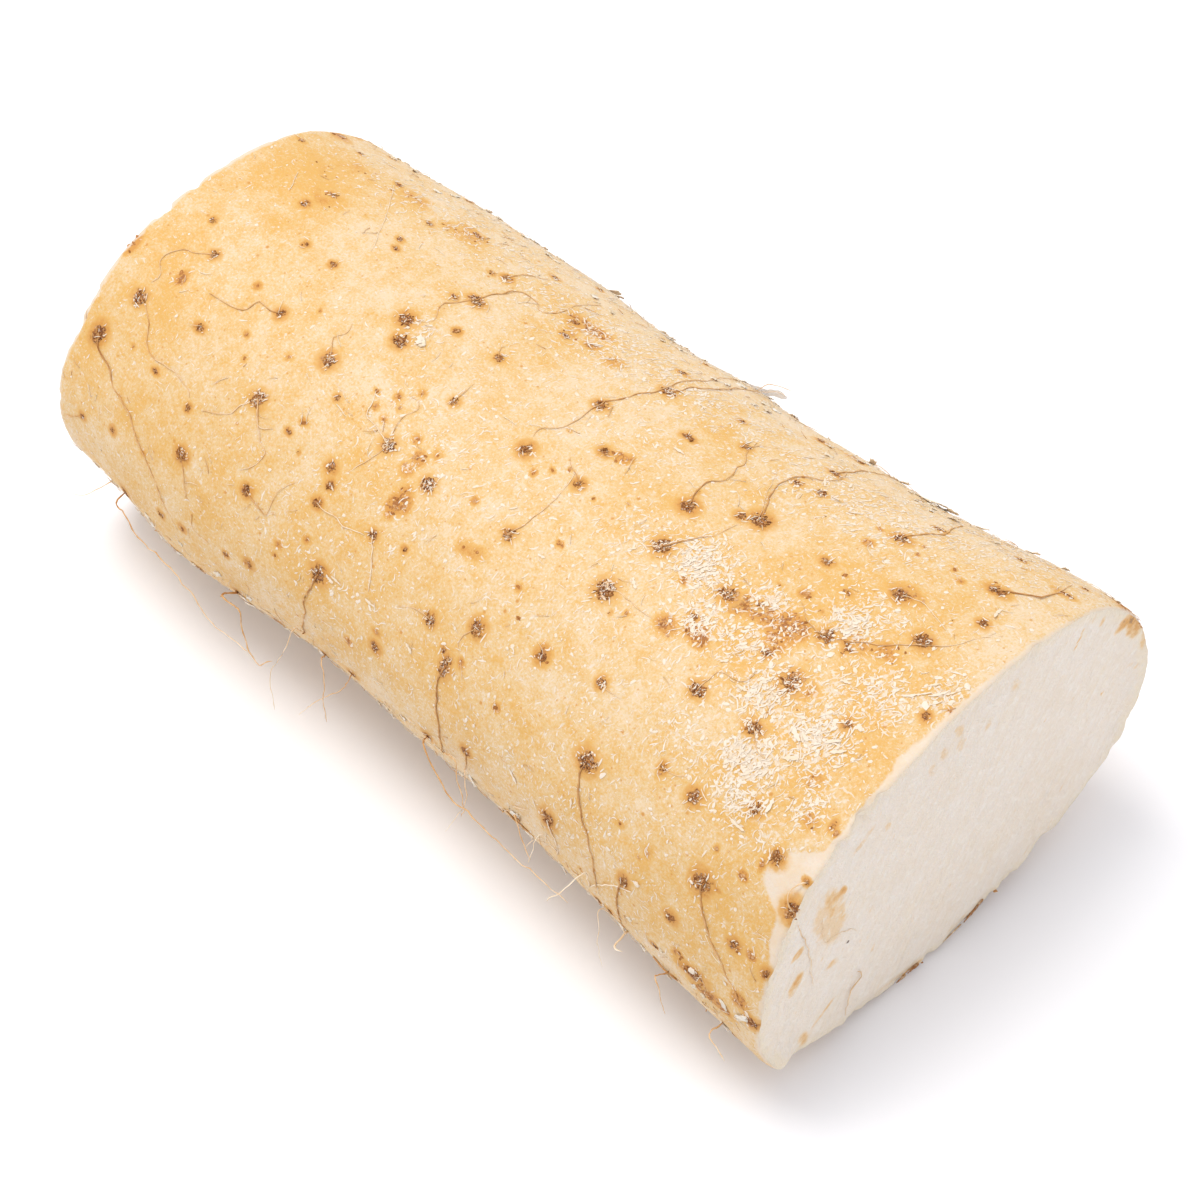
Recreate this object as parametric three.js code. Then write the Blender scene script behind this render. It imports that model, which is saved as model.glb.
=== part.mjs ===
// A cut length of mountain yam, lying on its side.
// Millimetres, +Z up. +X runs along the tuber towards the thicker cut end.

import * as THREE from 'three';

// Driving dimensions

const length = 125;

// The tuber is an oval that changes slowly along its length. Each station gives the
// distance from the thin end, the full width and height there, and how far the
// middle of the oval has wandered sideways.
const stations = [
  { along: 0, width: 60, height: 47, drift: -0.8 },
  { along: 21, width: 61.5, height: 46.5, drift: -0.7 },
  { along: 42, width: 61, height: 46, drift: -0.4 },
  { along: 62, width: 61, height: 46.2, drift: 0 },
  { along: 83, width: 63, height: 47.2, drift: 0.1 },
  { along: 104, width: 65.5, height: 49, drift: 0.3 },
  { along: 125, width: 66.5, height: 50, drift: 0.8 },
];

// How square the oval is: 2 is a true ellipse, more is squarer.
const squareness = 2.12;

// Gentle swells and hollows. along is millimetres from the thin end, around is degrees
// (0 is the +Y side, 90 the top), rise is how far the skin stands out or sinks, reach
// is how far the swell spreads along the tuber, and spread is the same in degrees.
const swells = [
  { along: 125, around: 60, rise: 1.4, reach: 22, spread: 24 },
  { along: 125, around: 120, rise: -1.5, reach: 20, spread: 26 },
  { along: 125, around: 165, rise: -1.2, reach: 14, spread: 20 },
  { along: 125, around: 213, rise: 2.8, reach: 24, spread: 22 },
  { along: 125, around: 285, rise: -2.0, reach: 22, spread: 26 },
  { along: 118, around: 25, rise: 0.8, reach: 9, spread: 22 },
  { along: 108, around: 200, rise: 0.5, reach: 16, spread: 20 },
  { along: 98, around: 28, rise: -0.7, reach: 9, spread: 22 },
  { along: 96, around: 85, rise: -0.5, reach: 10, spread: 22 },
  { along: 88, around: 10, rise: 0.4, reach: 12, spread: 24 },
  { along: 74, around: 120, rise: 0.8, reach: 13, spread: 28 },
  { along: 67, around: 28, rise: 0.6, reach: 7, spread: 20 },
  { along: 66, around: 203, rise: 0.3, reach: 8, spread: 20 },
  { along: 52, around: 70, rise: -0.6, reach: 11, spread: 26 },
  { along: 46, around: 200, rise: -0.6, reach: 9, spread: 22 },
  { along: 41, around: 28, rise: 0.8, reach: 9, spread: 22 },
  { along: 28, around: 110, rise: 0.7, reach: 12, spread: 24 },
  { along: 21, around: 198, rise: 0.6, reach: 8, spread: 20 },
  { along: 0, around: 240, rise: 0.6, reach: 16, spread: 18 },
  { along: 0, around: 203, rise: -1.2, reach: 16, spread: 22 },
  { along: 0, around: 150, rise: -0.8, reach: 14, spread: 20 },
  { along: 0, around: 38, rise: -1.4, reach: 14, spread: 22 },
];

// The weight of the tuber presses a narrow flat along its underside.
const restFlatDepth = 0.6;

// Mesh density
const ringsAlong = 46;
const pointsAround = 84;

// Smooth value between the stations, by a Catmull-Rom curve through them.
function between(key, along) {
  const last = stations.length - 1;
  let i = 0;
  while (i < last - 1 && along > stations[i + 1].along) i += 1;
  const before = stations[Math.max(i - 1, 0)];
  const start = stations[i];
  const end = stations[i + 1];
  const after = stations[Math.min(i + 2, last)];
  const span = end.along - start.along;
  const t = (along - start.along) / span;
  const slopeIn = (end[key] - before[key]) / (end.along - before.along) * span;
  const slopeOut = (after[key] - start[key]) / (after.along - start.along) * span;
  const t2 = t * t;
  const t3 = t2 * t;
  return (2 * t3 - 3 * t2 + 1) * start[key] + (t3 - 2 * t2 + t) * slopeIn
    + (3 * t2 - 2 * t3) * end[key] + (t3 - t2) * slopeOut;
}

// How far the skin stands out from the plain oval, in millimetres.
function swellAt(along, around) {
  let rise = 0;
  for (const swell of swells) {
    const du = (along - swell.along) / swell.reach;
    const turn = ((around - swell.around + 540) % 360) - 180;
    const dv = turn / swell.spread;
    rise += swell.rise * Math.exp(-(du * du + dv * dv));
  }
  return rise;
}

// A point on the skin, before the tuber is set down on its underside.
function skinPoint(along, around) {
  const angle = THREE.MathUtils.degToRad(around);
  const c = Math.cos(angle);
  const s = Math.sin(angle);
  const halfWidth = between('width', along) / 2;
  const halfHeight = between('height', along) / 2;
  const y = halfWidth * Math.sign(c) * Math.abs(c) ** (2 / squareness);
  const z = halfHeight * Math.sign(s) * Math.abs(s) ** (2 / squareness);
  const scale = 1 + swellAt(along, around) / Math.hypot(y, z);
  return new THREE.Vector3(along - length / 2, between('drift', along) + y * scale, halfHeight + z * scale);
}

// The closed skin: a sleeve of rings, and a flat cut face at each end.
function makeTuber() {
  const points = [];
  for (let i = 0; i <= ringsAlong; i += 1) {
    const along = length * i / ringsAlong;
    for (let j = 0; j < pointsAround; j += 1) {
      points.push(skinPoint(along, 360 * j / pointsAround));
    }
  }

  const box = new THREE.Box3().setFromPoints(points);
  const floor = box.min.z + restFlatDepth;
  const middle = (box.min.y + box.max.y) / 2;
  for (const p of points) {
    p.y -= middle;
    p.z = Math.max(p.z, floor) - floor;
  }

  const faces = [];
  const at = (i, j) => i * pointsAround + (j % pointsAround);
  for (let i = 0; i < ringsAlong; i += 1) {
    for (let j = 0; j < pointsAround; j += 1) {
      faces.push(at(i, j), at(i + 1, j + 1), at(i + 1, j));
      faces.push(at(i, j), at(i, j + 1), at(i + 1, j + 1));
    }
  }

  const addCutFace = (ring, facesOut) => {
    const rim = points.slice(at(ring, 0), at(ring, 0) + pointsAround);
    const centre = rim.reduce((sum, p) => sum.add(p), new THREE.Vector3()).divideScalar(pointsAround);
    const hub = points.push(centre) - 1;
    for (let j = 0; j < pointsAround; j += 1) {
      if (facesOut > 0) faces.push(hub, at(ring, j), at(ring, j + 1));
      else faces.push(hub, at(ring, j + 1), at(ring, j));
    }
  };
  addCutFace(0, -1);
  addCutFace(ringsAlong, 1);

  const geometry = new THREE.BufferGeometry().setFromPoints(points);
  geometry.setIndex(faces);
  geometry.computeVertexNormals();
  return geometry;
}

const tuberSkin = new THREE.MeshStandardMaterial({
  name: 'tuber_skin',
  color: 0xf0d2a0,
  roughness: 0.75,
  metalness: 0,
});

const yam = new THREE.Mesh(makeTuber(), tuberSkin);
yam.name = 'yam_tuber';

const mountainYam = new THREE.Group();
mountainYam.name = 'mountain_yam';
mountainYam.add(yam);

export default mountainYam;
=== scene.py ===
import math
import random

import bpy
import numpy as np
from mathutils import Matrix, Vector


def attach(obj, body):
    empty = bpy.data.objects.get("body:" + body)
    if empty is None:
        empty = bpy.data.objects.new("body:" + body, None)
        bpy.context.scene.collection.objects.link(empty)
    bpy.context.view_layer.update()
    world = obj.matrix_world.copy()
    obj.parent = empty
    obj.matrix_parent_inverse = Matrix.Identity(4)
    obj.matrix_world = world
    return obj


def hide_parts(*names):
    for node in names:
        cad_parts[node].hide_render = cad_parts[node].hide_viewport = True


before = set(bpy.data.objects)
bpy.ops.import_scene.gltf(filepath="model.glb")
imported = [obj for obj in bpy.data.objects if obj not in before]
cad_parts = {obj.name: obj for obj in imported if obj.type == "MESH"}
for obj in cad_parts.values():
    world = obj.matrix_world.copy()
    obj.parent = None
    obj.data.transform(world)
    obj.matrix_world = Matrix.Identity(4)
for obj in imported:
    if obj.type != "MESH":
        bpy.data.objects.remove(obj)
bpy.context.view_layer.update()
mm = 0.001
scene = bpy.context.scene

# the yam's own shape, in millimetres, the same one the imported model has

tuber = {
    "length": 125.0,
    "squareness": 2.12,      # 2 is a true oval, more is squarer
    "restFlat": 0.6,         # how much of the underside is pressed flat
    "packedMesh": (47, 84),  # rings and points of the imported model, which set where its floor is
    "columns": 396,          # mesh points round the tuber
    "rows": 238,             # mesh rings between the two rims
    "rimRings": (0.0, 0.14, 0.34, 0.66),    # closer rings beside each cut, millimetres from it
    "firstRow": 1.1,         # where the evenly spaced rings start
    "lumps": ((13.0, 0.16), (5.5, 0.10), (2.3, 0.045)),   # size and height of the skin's unevenness
    "fineLumps": (1.1, 0.035),
    "bareDepth": 0.14,       # how far torn flesh lies below the skin
    "wrinkles": 0.12,        # lengthwise wrinkles low down beside the thick cut
    "corner": 0.7,           # how sharp the tuber's corner low down at the thick cut is
    "rimRounding": 0.22,     # how far the skin turns in at a cut
    "rimChips": 0.9,         # how ragged the skin's edge is at a cut
    "thinCutOut": 0.5,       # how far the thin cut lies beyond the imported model's
    "rimReach": {"rounding": 0.5, "chips": 1.1, "steps": 3, "thinCut": 9},   # along the skin
    "restingBand": 0.4,      # skin lower than this stays pressed flat
}

# along, width, height and sideways drift of the oval
stations = np.array([
    (0, 60, 47, -0.8),
    (21, 61.5, 46.5, -0.7),
    (42, 61, 46, -0.4),
    (62, 61, 46.2, 0),
    (83, 63, 47.2, 0.1),
    (104, 65.5, 49, 0.3),
    (125, 66.5, 50, 0.8),
], float)

# along, around, rise, reach along, spread round in degrees
swells = [
    (125, 60, 1.4, 22, 24), (125, 120, -1.5, 20, 26), (125, 165, -1.2, 14, 20), (125, 213, 2.8, 24, 22),
    (125, 285, -2.0, 22, 26), (118, 25, 0.8, 9, 22), (108, 200, 0.5, 16, 20), (98, 28, -0.7, 9, 22),
    (96, 85, -0.5, 10, 22), (88, 10, 0.4, 12, 24), (74, 120, 0.8, 13, 28), (67, 28, 0.6, 7, 20),
    (66, 203, 0.3, 8, 20), (52, 70, -0.6, 11, 26), (46, 200, -0.6, 9, 22), (41, 28, 0.8, 9, 22),
    (28, 110, 0.7, 12, 24), (21, 198, 0.6, 8, 20), (0, 240, 0.6, 16, 18), (0, 203, -1.2, 16, 22),
    (0, 150, -0.8, 14, 20), (0, 38, -1.4, 14, 22),
]


def turnBetween(around, other):
    return (around - other + 540.0) % 360.0 - 180.0


def ridge(around, turn, wide):
    # 1 on one line along the tuber, falling off over wide degrees to either side
    return np.exp(-(turnBetween(around, turn) / wide) ** 2)


def patch(along, around, at, turn, reach, wide):
    # 1 in the middle of a soft patch, falling off over reach millimetres and wide degrees
    return np.exp(-((along - at) / reach) ** 2 - (turnBetween(around, turn) / wide) ** 2)


def fade(distance, reach):
    # 1 at no distance, 0 from reach onwards
    return np.clip(1 - distance / reach, 0, 1)


def unit(v):
    return v / np.maximum(np.linalg.norm(v, axis=-1, keepdims=True), 1e-9)


def columnsOf(rows):
    # a table's rows as one array for each column
    return [np.array(column) for column in zip(*rows)]


def between(column, along):
    # smooth value between the stations
    marks = stations[:, 0]
    value = stations[:, column]
    last = len(marks) - 1
    i = np.clip(np.searchsorted(marks, along, side="left") - 1, 0, last - 1)
    before = np.maximum(i - 1, 0)
    after = np.minimum(i + 2, last)
    span = marks[i + 1] - marks[i]
    t = (along - marks[i]) / span
    slopeIn = (value[i + 1] - value[before]) / (marks[i + 1] - marks[before]) * span
    slopeOut = (value[after] - value[i]) / (marks[after] - marks[i]) * span
    return ((2 * t**3 - 3 * t**2 + 1) * value[i] + (t**3 - 2 * t**2 + t) * slopeIn
            + (3 * t**2 - 2 * t**3) * value[i + 1] + (t**3 - t**2) * slopeOut)


def rawSkin(along, around):
    along, around = np.broadcast_arrays(np.asarray(along, float), np.asarray(around, float) % 360.0)
    angle = np.radians(around)
    c = np.cos(angle)
    s = np.sin(angle)
    power = 2 / tuber["squareness"]
    halfHeight = between(2, along) / 2
    y = between(1, along) / 2 * np.sign(c) * np.abs(c) ** power
    z = halfHeight * np.sign(s) * np.abs(s) ** power
    rise = np.zeros_like(y)
    for at, turn, height, reach, wide in swells:
        rise += height * patch(along, around, at, turn, reach, wide)
    scale = 1 + rise / np.hypot(y, z)
    return np.stack([along - tuber["length"] / 2, between(3, along) + y * scale, halfHeight + z * scale], -1)


def restingPlace():
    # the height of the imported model's floor and the middle of its width, before it is set down
    rings, points = tuber["packedMesh"]
    alongs = np.linspace(0, tuber["length"], rings)[:, None]
    packed = rawSkin(alongs, np.arange(points)[None, :] * 360 / points)
    return packed[..., 2].min() + tuber["restFlat"], (packed[..., 1].min() + packed[..., 1].max()) / 2


skinFloor, skinMiddle = restingPlace()


def smoothSkin(along, around):
    spot = rawSkin(along, around)
    spot[..., 1] -= skinMiddle
    spot[..., 2] = np.maximum(spot[..., 2], skinFloor) - skinFloor
    return spot


def skinFrame(along, around, nudge=0.3, twist=0.6):
    # a spot on the skin with its directions along, round and outwards
    along = np.asarray(along, float)
    around = np.asarray(around, float)
    low = np.clip(along - nudge, 0, tuber["length"])
    high = np.clip(along + nudge, 0, tuber["length"])
    lengthways = unit(smoothSkin(high, around) - smoothSkin(low, around))
    roundways = unit(smoothSkin(along, around + twist) - smoothSkin(along, around - twist))
    out = unit(np.cross(roundways, lengthways))
    return smoothSkin(along, around), lengthways, roundways, out


cellPrimes = (73856093, 19349663, 83492791, 26544357)
mixPrimes = (1274126177, 668265263)


def scramble(ix, iy, iz, seed):
    # a fixed random value from -1 to 1 for each cell of space
    n = (ix * cellPrimes[0]) ^ (iy * cellPrimes[1]) ^ (iz * cellPrimes[2]) ^ (seed * cellPrimes[3])
    n = ((n ^ (n >> 13)) * mixPrimes[0]) & 0x7FFFFFFF
    n = ((n ^ (n >> 15)) * mixPrimes[1]) & 0x7FFFFFFF
    return (n & 0xFFFF) / 32767.5 - 1.0


def softNoise(points, size, seed):
    # smooth random value from -1 to 1 for each point
    p = np.asarray(points, float) / size + 1000.0
    cell = np.floor(p).astype(np.int64)
    f = p - cell
    f = f * f * (3 - 2 * f)
    total = 0
    for corner in np.ndindex(2, 2, 2):
        wx, wy, wz = np.moveaxis(np.where(corner, f, 1 - f), -1, 0)
        total = total + wx * wy * wz * scramble(*np.moveaxis(cell + corner, -1, 0), seed)
    return total


def ringFaces(rows, columns):
    # four-sided faces between one closed ring of points and the next
    i = np.arange(rows - 1)[:, None] * columns
    j = np.arange(columns)[None, :]
    k = (j + 1) % columns
    return np.stack([i + j, i + k, i + columns + k, i + columns + j], -1).reshape(-1, 4)


def makePiece(name, points, faces, material, values, smooth=True):
    mesh = bpy.data.meshes.new(name)
    mesh.from_pydata((np.asarray(points, float) * mm).tolist(), [], faces)
    for key, numbers in values.items():
        layer = mesh.attributes.new(key, "FLOAT", "POINT")
        layer.data.foreach_set("value", np.asarray(numbers, np.float32).ravel())
    mesh.polygons.foreach_set("use_smooth", [smooth] * len(mesh.polygons))
    mesh.materials.append(material)
    mesh.update()
    piece = bpy.data.objects.new(name, mesh)
    scene.collection.objects.link(piece)
    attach(piece, "root")
    print("made", name, len(mesh.polygons), "faces")
    return piece


def addBakeMap(piece, uvAt):
    # a map for baked colours, laid out by the mesh point under each corner of a face
    layer = piece.data.uv_layers.new(name="OFBake")
    corners = np.zeros(len(piece.data.loops), np.int64)
    piece.data.loops.foreach_get("vertex_index", corners)
    layer.data.foreach_set("uv", uvAt(corners).astype(np.float32).ravel())


# camera, floor and light

studio = {
    "cameraFrom": (0.2089, -0.2060, 0.3661),
    "cameraTo": (0.0061, -0.0021, 0.0200),
    "lens": 109.2,
    "sensor": 36,
    "clip": (0.01, 20),
    "sky": 1.0,
    "skyColour": (0.955, 0.968, 1.0, 1),
    "keyFrom": (-0.225, -0.10, 0.893),
    "keySize": 0.44,
    "keyPower": 5.0,
    "keyColour": (1.0, 0.98, 0.94),
    "floorColour": (0.887, 0.883, 0.908, 1),
    "floorHalf": 2,          # metres from the middle of the floor to its edge
    "floorRoughness": 0.9,
    "floorShine": 0.1,
}


def makeCamera():
    camera = bpy.data.objects.new("camera", bpy.data.cameras.new("camera"))
    camera.location = studio["cameraFrom"]
    look = Vector(studio["cameraTo"]) - Vector(studio["cameraFrom"])
    camera.rotation_euler = look.to_track_quat("-Z", "Y").to_euler()
    camera.data.lens = studio["lens"]
    camera.data.sensor_width = studio["sensor"]
    camera.data.clip_start, camera.data.clip_end = studio["clip"]
    scene.collection.objects.link(camera)
    scene.camera = camera


def makeLight():
    sky = bpy.data.worlds.new("softSky")
    sky.use_nodes = True
    background = sky.node_tree.nodes["Background"]
    background.inputs["Color"].default_value = studio["skyColour"]
    background.inputs["Strength"].default_value = studio["sky"]
    scene.world = sky

    lamp = bpy.data.lights.new("keySoftbox", "AREA")
    lamp.shape = "SQUARE"
    lamp.size = studio["keySize"]
    lamp.energy = studio["keyPower"]
    lamp.color = studio["keyColour"]
    key = bpy.data.objects.new("keySoftbox", lamp)
    key.location = studio["keyFrom"]
    key.rotation_euler = (-Vector(studio["keyFrom"])).to_track_quat("-Z", "Y").to_euler()
    scene.collection.objects.link(key)


def makeFloor():
    half = studio["floorHalf"]
    mesh = bpy.data.meshes.new("floor")
    corners = [(-half, -half, 0), (half, -half, 0), (half, half, 0), (-half, half, 0)]
    mesh.from_pydata(corners, [], [(0, 1, 2, 3)])
    floor = bpy.data.objects.new("floor", mesh)
    scene.collection.objects.link(floor)
    paper = bpy.data.materials.new("floorPaper")
    paper.use_nodes = True
    shader = paper.node_tree.nodes["Principled BSDF"]
    shader.inputs["Base Color"].default_value = studio["floorColour"]
    shader.inputs["Roughness"].default_value = studio["floorRoughness"]
    shader.inputs["Specular IOR Level"].default_value = studio["floorShine"]
    mesh.materials.append(paper)


makeCamera()
makeLight()
makeFloor()
scene.view_settings.view_transform = "Standard"
print("studio ready")

# small helpers for the node materials

noiseRange = (0.3, 0.7)      # nearly all of a noise texture's values lie between these


def newMaterial(name):
    material = bpy.data.materials.new(name)
    material.use_nodes = True
    tree = material.node_tree
    return material, tree, tree.nodes["Principled BSDF"]


def put(tree, kind, inputs=None, **settings):
    made = tree.nodes.new("ShaderNode" + kind)
    for key, value in settings.items():
        setattr(made, key, value)
    for key, value in (inputs or {}).items():
        if isinstance(value, bpy.types.NodeSocket):
            tree.links.new(value, made.inputs[key])
        else:
            made.inputs[key].default_value = value
    return made


def place(tree, stretch=(1, 1, 1), turn=(0, 0, 0)):
    # object coordinates in millimetres, stretched and turned
    spot = put(tree, "TexCoord").outputs["Object"]
    scale = tuple(s / mm for s in stretch)
    turned = put(tree, "Mapping", {"Vector": spot, "Rotation": turn}).outputs[0]
    return put(tree, "Mapping", {"Vector": turned, "Scale": scale}).outputs[0]


def grain(tree, where, size, detail, rough):
    return put(tree, "TexNoise", {"Vector": where, "Scale": 1.0 / size, "Detail": detail,
                                  "Roughness": rough}).outputs["Fac"]


def value(tree, name):
    return put(tree, "Attribute", attribute_name=name).outputs["Fac"]


def times(tree, a, b):
    return put(tree, "Math", {0: a, 1: b}, operation="MULTIPLY").outputs[0]


def plus(tree, a, b, share=1.0):
    # a and a share of b
    return put(tree, "Math", {0: b, 1: share, 2: a}, operation="MULTIPLY_ADD").outputs[0]


def spread(tree, a, low, high, toLow=0.0, toHigh=1.0):
    inputs = {"Value": a, "From Min": low, "From Max": high, "To Min": toLow, "To Max": toHigh}
    return put(tree, "MapRange", inputs).outputs["Result"]


def sway(tree, noise, low, high):
    # a noise stretched to run from low to high
    return spread(tree, noise, *noiseRange, low, high)


def ramp(tree, a, stops):
    made = put(tree, "ValToRGB", {"Fac": a})
    band = made.color_ramp
    while len(band.elements) < len(stops):
        band.elements.new(0.5)
    for element, (at, colour) in zip(band.elements, stops):
        element.position = at
        element.color = (*colour, 1)
    return made.outputs["Color"]


def tint(tree, amount, a, b):
    # a where the amount is 0, b where it is 1
    made = put(tree, "Mix", data_type="RGBA", blend_type="MIX")
    for key, item in ((0, amount), (6, a), (7, b)):
        if isinstance(item, bpy.types.NodeSocket):
            tree.links.new(item, made.inputs[key])
        else:
            made.inputs[key].default_value = item if key == 0 else (*item, 1)
    return made.outputs[2]


def layOver(tree, base, colour, amount, low, high, most=1.0):
    # a colour laid over the base, from none of it where the amount is low to most of it where it is high
    return tint(tree, spread(tree, amount, low, high, 0.0, most), base, colour)


def relief(tree, shader, *heights):
    # heights are (value, millimetres) pairs, laid one over another
    below = None
    for height, depth in heights:
        inputs = {"Height": height, "Distance": depth * mm, "Strength": 1.0}
        if below is not None:
            inputs["Normal"] = below
        below = put(tree, "Bump", inputs).outputs["Normal"]
    tree.links.new(below, shader.inputs["Normal"])


def letLightIn(shader, weight, radius, scale):
    shader.inputs["Subsurface Weight"].default_value = weight
    shader.inputs["Subsurface Radius"].default_value = radius
    shader.inputs["Subsurface Scale"].default_value = scale


# where the knots, stains and sawdust are: along in millimetres, around in degrees

# knots where rootlets grew: along, around, size, greyness, how much longer than wide along the tuber
knots = [
    (6, 128, 2.3, 0.8, 1), (3.5, 144, 2.6, 0.15, 0.8), (12.5, 189, 1.9, 0.3, 0.6), (23, 156, 2.2, 0.35, 1),
    (29, 129, 2.5, 0.9, 1), (33, 111, 2.3, 0.4, 1), (35.5, 92, 2.4, 0.3, 1), (37.5, 97, 2.2, 0.35, 1),
    (38.6, 77, 2.2, 0.7, 1.6), (36.5, 80, 1.2, 0.9, 1.4), (47, 119, 2.2, 0.8, 1), (48, 160, 2.6, 0.1, 1),
    (54.8, 121, 2.2, 0.9, 1), (65.4, 149, 2.0, 0.7, 1), (72, 142, 2.4, 0.5, 1), (70, 157.5, 2.6, 0.6, 0.6),
    (69, 153.5, 1.0, 0.05, 1), (60.8, 100.5, 2.2, 0.1, 1), (62, 81, 2.0, 0.6, 1.1),
    (65.3, 65, 2.2, 0.6, 1.2), (68.2, 90.5, 1.7, 0.35, 1.4), (69.6, 100, 1.6, 0.3, 1),
    (73.3, 75, 1.5, 0.45, 2.2), (67.8, 119, 1.9, 0.85, 1), (78.7, 67, 1.4, 0.6, 1.3),
    (81.6, 90, 2.4, 0.15, 1.1), (83.6, 100.7, 2.5, 0.5, 1), (89, 83, 2.6, 0.25, 1.1),
    (87, 85, 1.6, 0.5, 1.2), (82.5, 116, 3.0, 0.9, 1), (87.3, 68, 1.4, 0.7, 1.2),
    (88.4, 56.8, 1.6, 0.8, 1.9), (90.4, 66.7, 1.5, 0.8, 1.3), (102.5, 67, 2.2, 0.25, 1.4),
    (103.7, 56, 1.4, 0.8, 2.1), (99.2, 83, 1.6, 0.4, 1.5), (104.4, 86.8, 1.1, 0.6, 2),
    (109.2, 81, 2.3, 0.2, 1.3), (107, 96.6, 2.3, 0.6, 1), (109.3, 95.5, 1.1, 0.1, 1.4),
    (110.2, 96.2, 1.1, 0.1, 1.7), (109.8, 97.6, 0.6, 0.1, 1), (107.9, 109, 2.8, 0.45, 1),
    (108.3, 121.7, 2.2, 0.5, 1.5), (100, 122, 2.2, 0.7, 1.2), (102.3, 141.4, 1.4, 0.5, 0.8),
    (107.5, 142.6, 2.1, 0.45, 1), (93.4, 152, 3.0, 0.55, 1.1), (90.3, 177.5, 2.6, 0.2, 0.8),
    (103.3, 176.5, 1.8, 0.05, 0.8), (110.6, 176.8, 1.7, 0.1, 1), (113.1, 160.6, 3.0, 0.35, 0.9),
    (115.3, 160, 0.6, 0, 1), (119.4, 171.7, 1.7, 0.1, 1), (124.3, 173.3, 1.4, 0.1, 0.7),
    (124, 191, 1.9, 0.15, 1.2), (114.8, 190, 2.7, 0.15, 1.9), (119.8, 143, 1.9, 0.4, 1),
    (114.4, 136.4, 1.8, 0.3, 1), (115.7, 87, 2.4, 0.5, 1.2), (116.2, 67, 2.1, 0.35, 1.9),
    (116.4, 109.4, 1.4, 0.3, 1), (118.7, 76.5, 1.5, 0.3, 1.2), (121, 54.5, 1.4, 0.6, 2.6),
    (113.3, 50.5, 1.1, 0.7, 2.6), (122.6, 98.7, 1.3, 0.1, 1), (124.6, 152, 2.5, 0.1, 0.9),
    (124.4, 143.5, 0.9, 0.1, 1.5), (94.2, 101, 2.4, 0.5, 1.2), (93.2, 109.3, 1.1, 0.1, 1.8),
    (103.2, 106.7, 1.5, 0.2, 1.2), (98.1, 98.9, 1.3, 0.3, 1.5), (89.7, 133.7, 1.6, 0.6, 1),
    (81.2, 137, 1.9, 0.1, 0.9), (75.7, 179, 1.6, 0.1, 1), (68.3, 188, 1.6, 0.6, 1.4),
    (123, 129.5, 1.0, 0.1, 0.5), (104, 93, 0.5, 0, 1), (115.9, 79.6, 0.45, 0, 1), (74.5, 59, 1.0, 0.3, 1.4),
    (63, 54, 1.2, 0.5, 2), (61.5, 39, 1.0, 0.1, 1.3), (74.5, 32, 1.1, 0.5, 2), (120.8, 45, 0.9, 0.5, 1.5),
    (12, 84, 1.4, 0.3, 1), (13, 77, 1.3, 0.9, 1.8), (10, 107.5, 1.5, 0.7, 1), (16, 124, 1.4, 0.2, 1.4),
    (23.5, 109, 1.6, 0.15, 1), (37.3, 64, 1.5, 0.2, 1.1), (35.6, 66, 1.0, 0.9, 1.6),
    (42.7, 132, 1.6, 0.2, 1), (44, 136, 1.3, 0.3, 1), (43.7, 142, 1.5, 0.2, 1), (47.6, 86, 1.4, 0.7, 1),
    (49, 101, 1.4, 0.7, 1), (52.6, 140, 1.5, 0.5, 1), (48, 61, 1.4, 0.6, 1.8), (49.3, 67.5, 1.3, 0.8, 1.4),
    (34, 152, 1.7, 0.15, 1), (37, 174, 1.5, 0.15, 1), (33, 196, 1.6, 0.15, 1.2), (59, 169, 1.7, 0.1, 1),
    (39.5, 50, 1.2, 0.7, 2), (28.3, 56, 1.3, 0.6, 1.9), (5, 171, 1.1, 0.1, 1), (11, 166, 1.2, 0.1, 1),
    (14, 141, 1.0, 0.2, 1.6), (21, 143, 1.1, 0.2, 1), (6, 101, 1.0, 0.4, 1), (17.5, 92, 1.1, 0.2, 1),
    (22.5, 92, 1.2, 0.3, 1), (24.5, 76, 1.0, 0.4, 1.3), (25.5, 79, 1.0, 0.4, 1.3), (2, 67, 1.0, 0.8, 1.5),
    (6.5, 54, 1.1, 0.9, 1.8), (15, 58, 1.1, 0.9, 1.6), (24, 65, 1.1, 0.9, 1.6), (25, 180, 1.1, 0.1, 1),
    (21, 181, 1.2, 0.4, 1), (33, 177, 1.0, 0.1, 1), (21.5, 198, 1.4, 0.2, 1.6), (26, 198, 1.3, 0.2, 1.6),
    (39.5, 199, 1.4, 0.2, 1.4), (48, 197, 1.5, 0.2, 1), (54, 191, 1.5, 0.3, 1.2), (35, 131, 0.9, 0.1, 1.5),
    (37.4, 117, 1.0, 0.5, 1), (57.4, 138, 0.9, 0.2, 1), (41, 87, 1.2, 0.3, 1), (100.6, 196, 1.3, 0.5, 1.2),
    (98.5, 196, 1.2, 0.4, 1.6), (113, 150, 0.5, 0.1, 0.7), (110.2, 131, 0.5, 0.1, 1),
    (110.7, 112.9, 0.5, 0.1, 0.6), (84.9, 119.5, 0.45, 0.1, 1), (62.5, 91, 0.4, 0.1, 1),
    (80.7, 86, 0.5, 0.1, 1), (93.6, 72.4, 0.4, 0.2, 1.5), (37.7, 134, 0.5, 0, 1), (27, 103, 0.5, 0, 1),
    (97.7, 93, 0.5, 0.2, 1), (95.8, 187, 0.5, 0, 1), (108.5, 192, 1.1, 0.2, 1.4),
]

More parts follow.
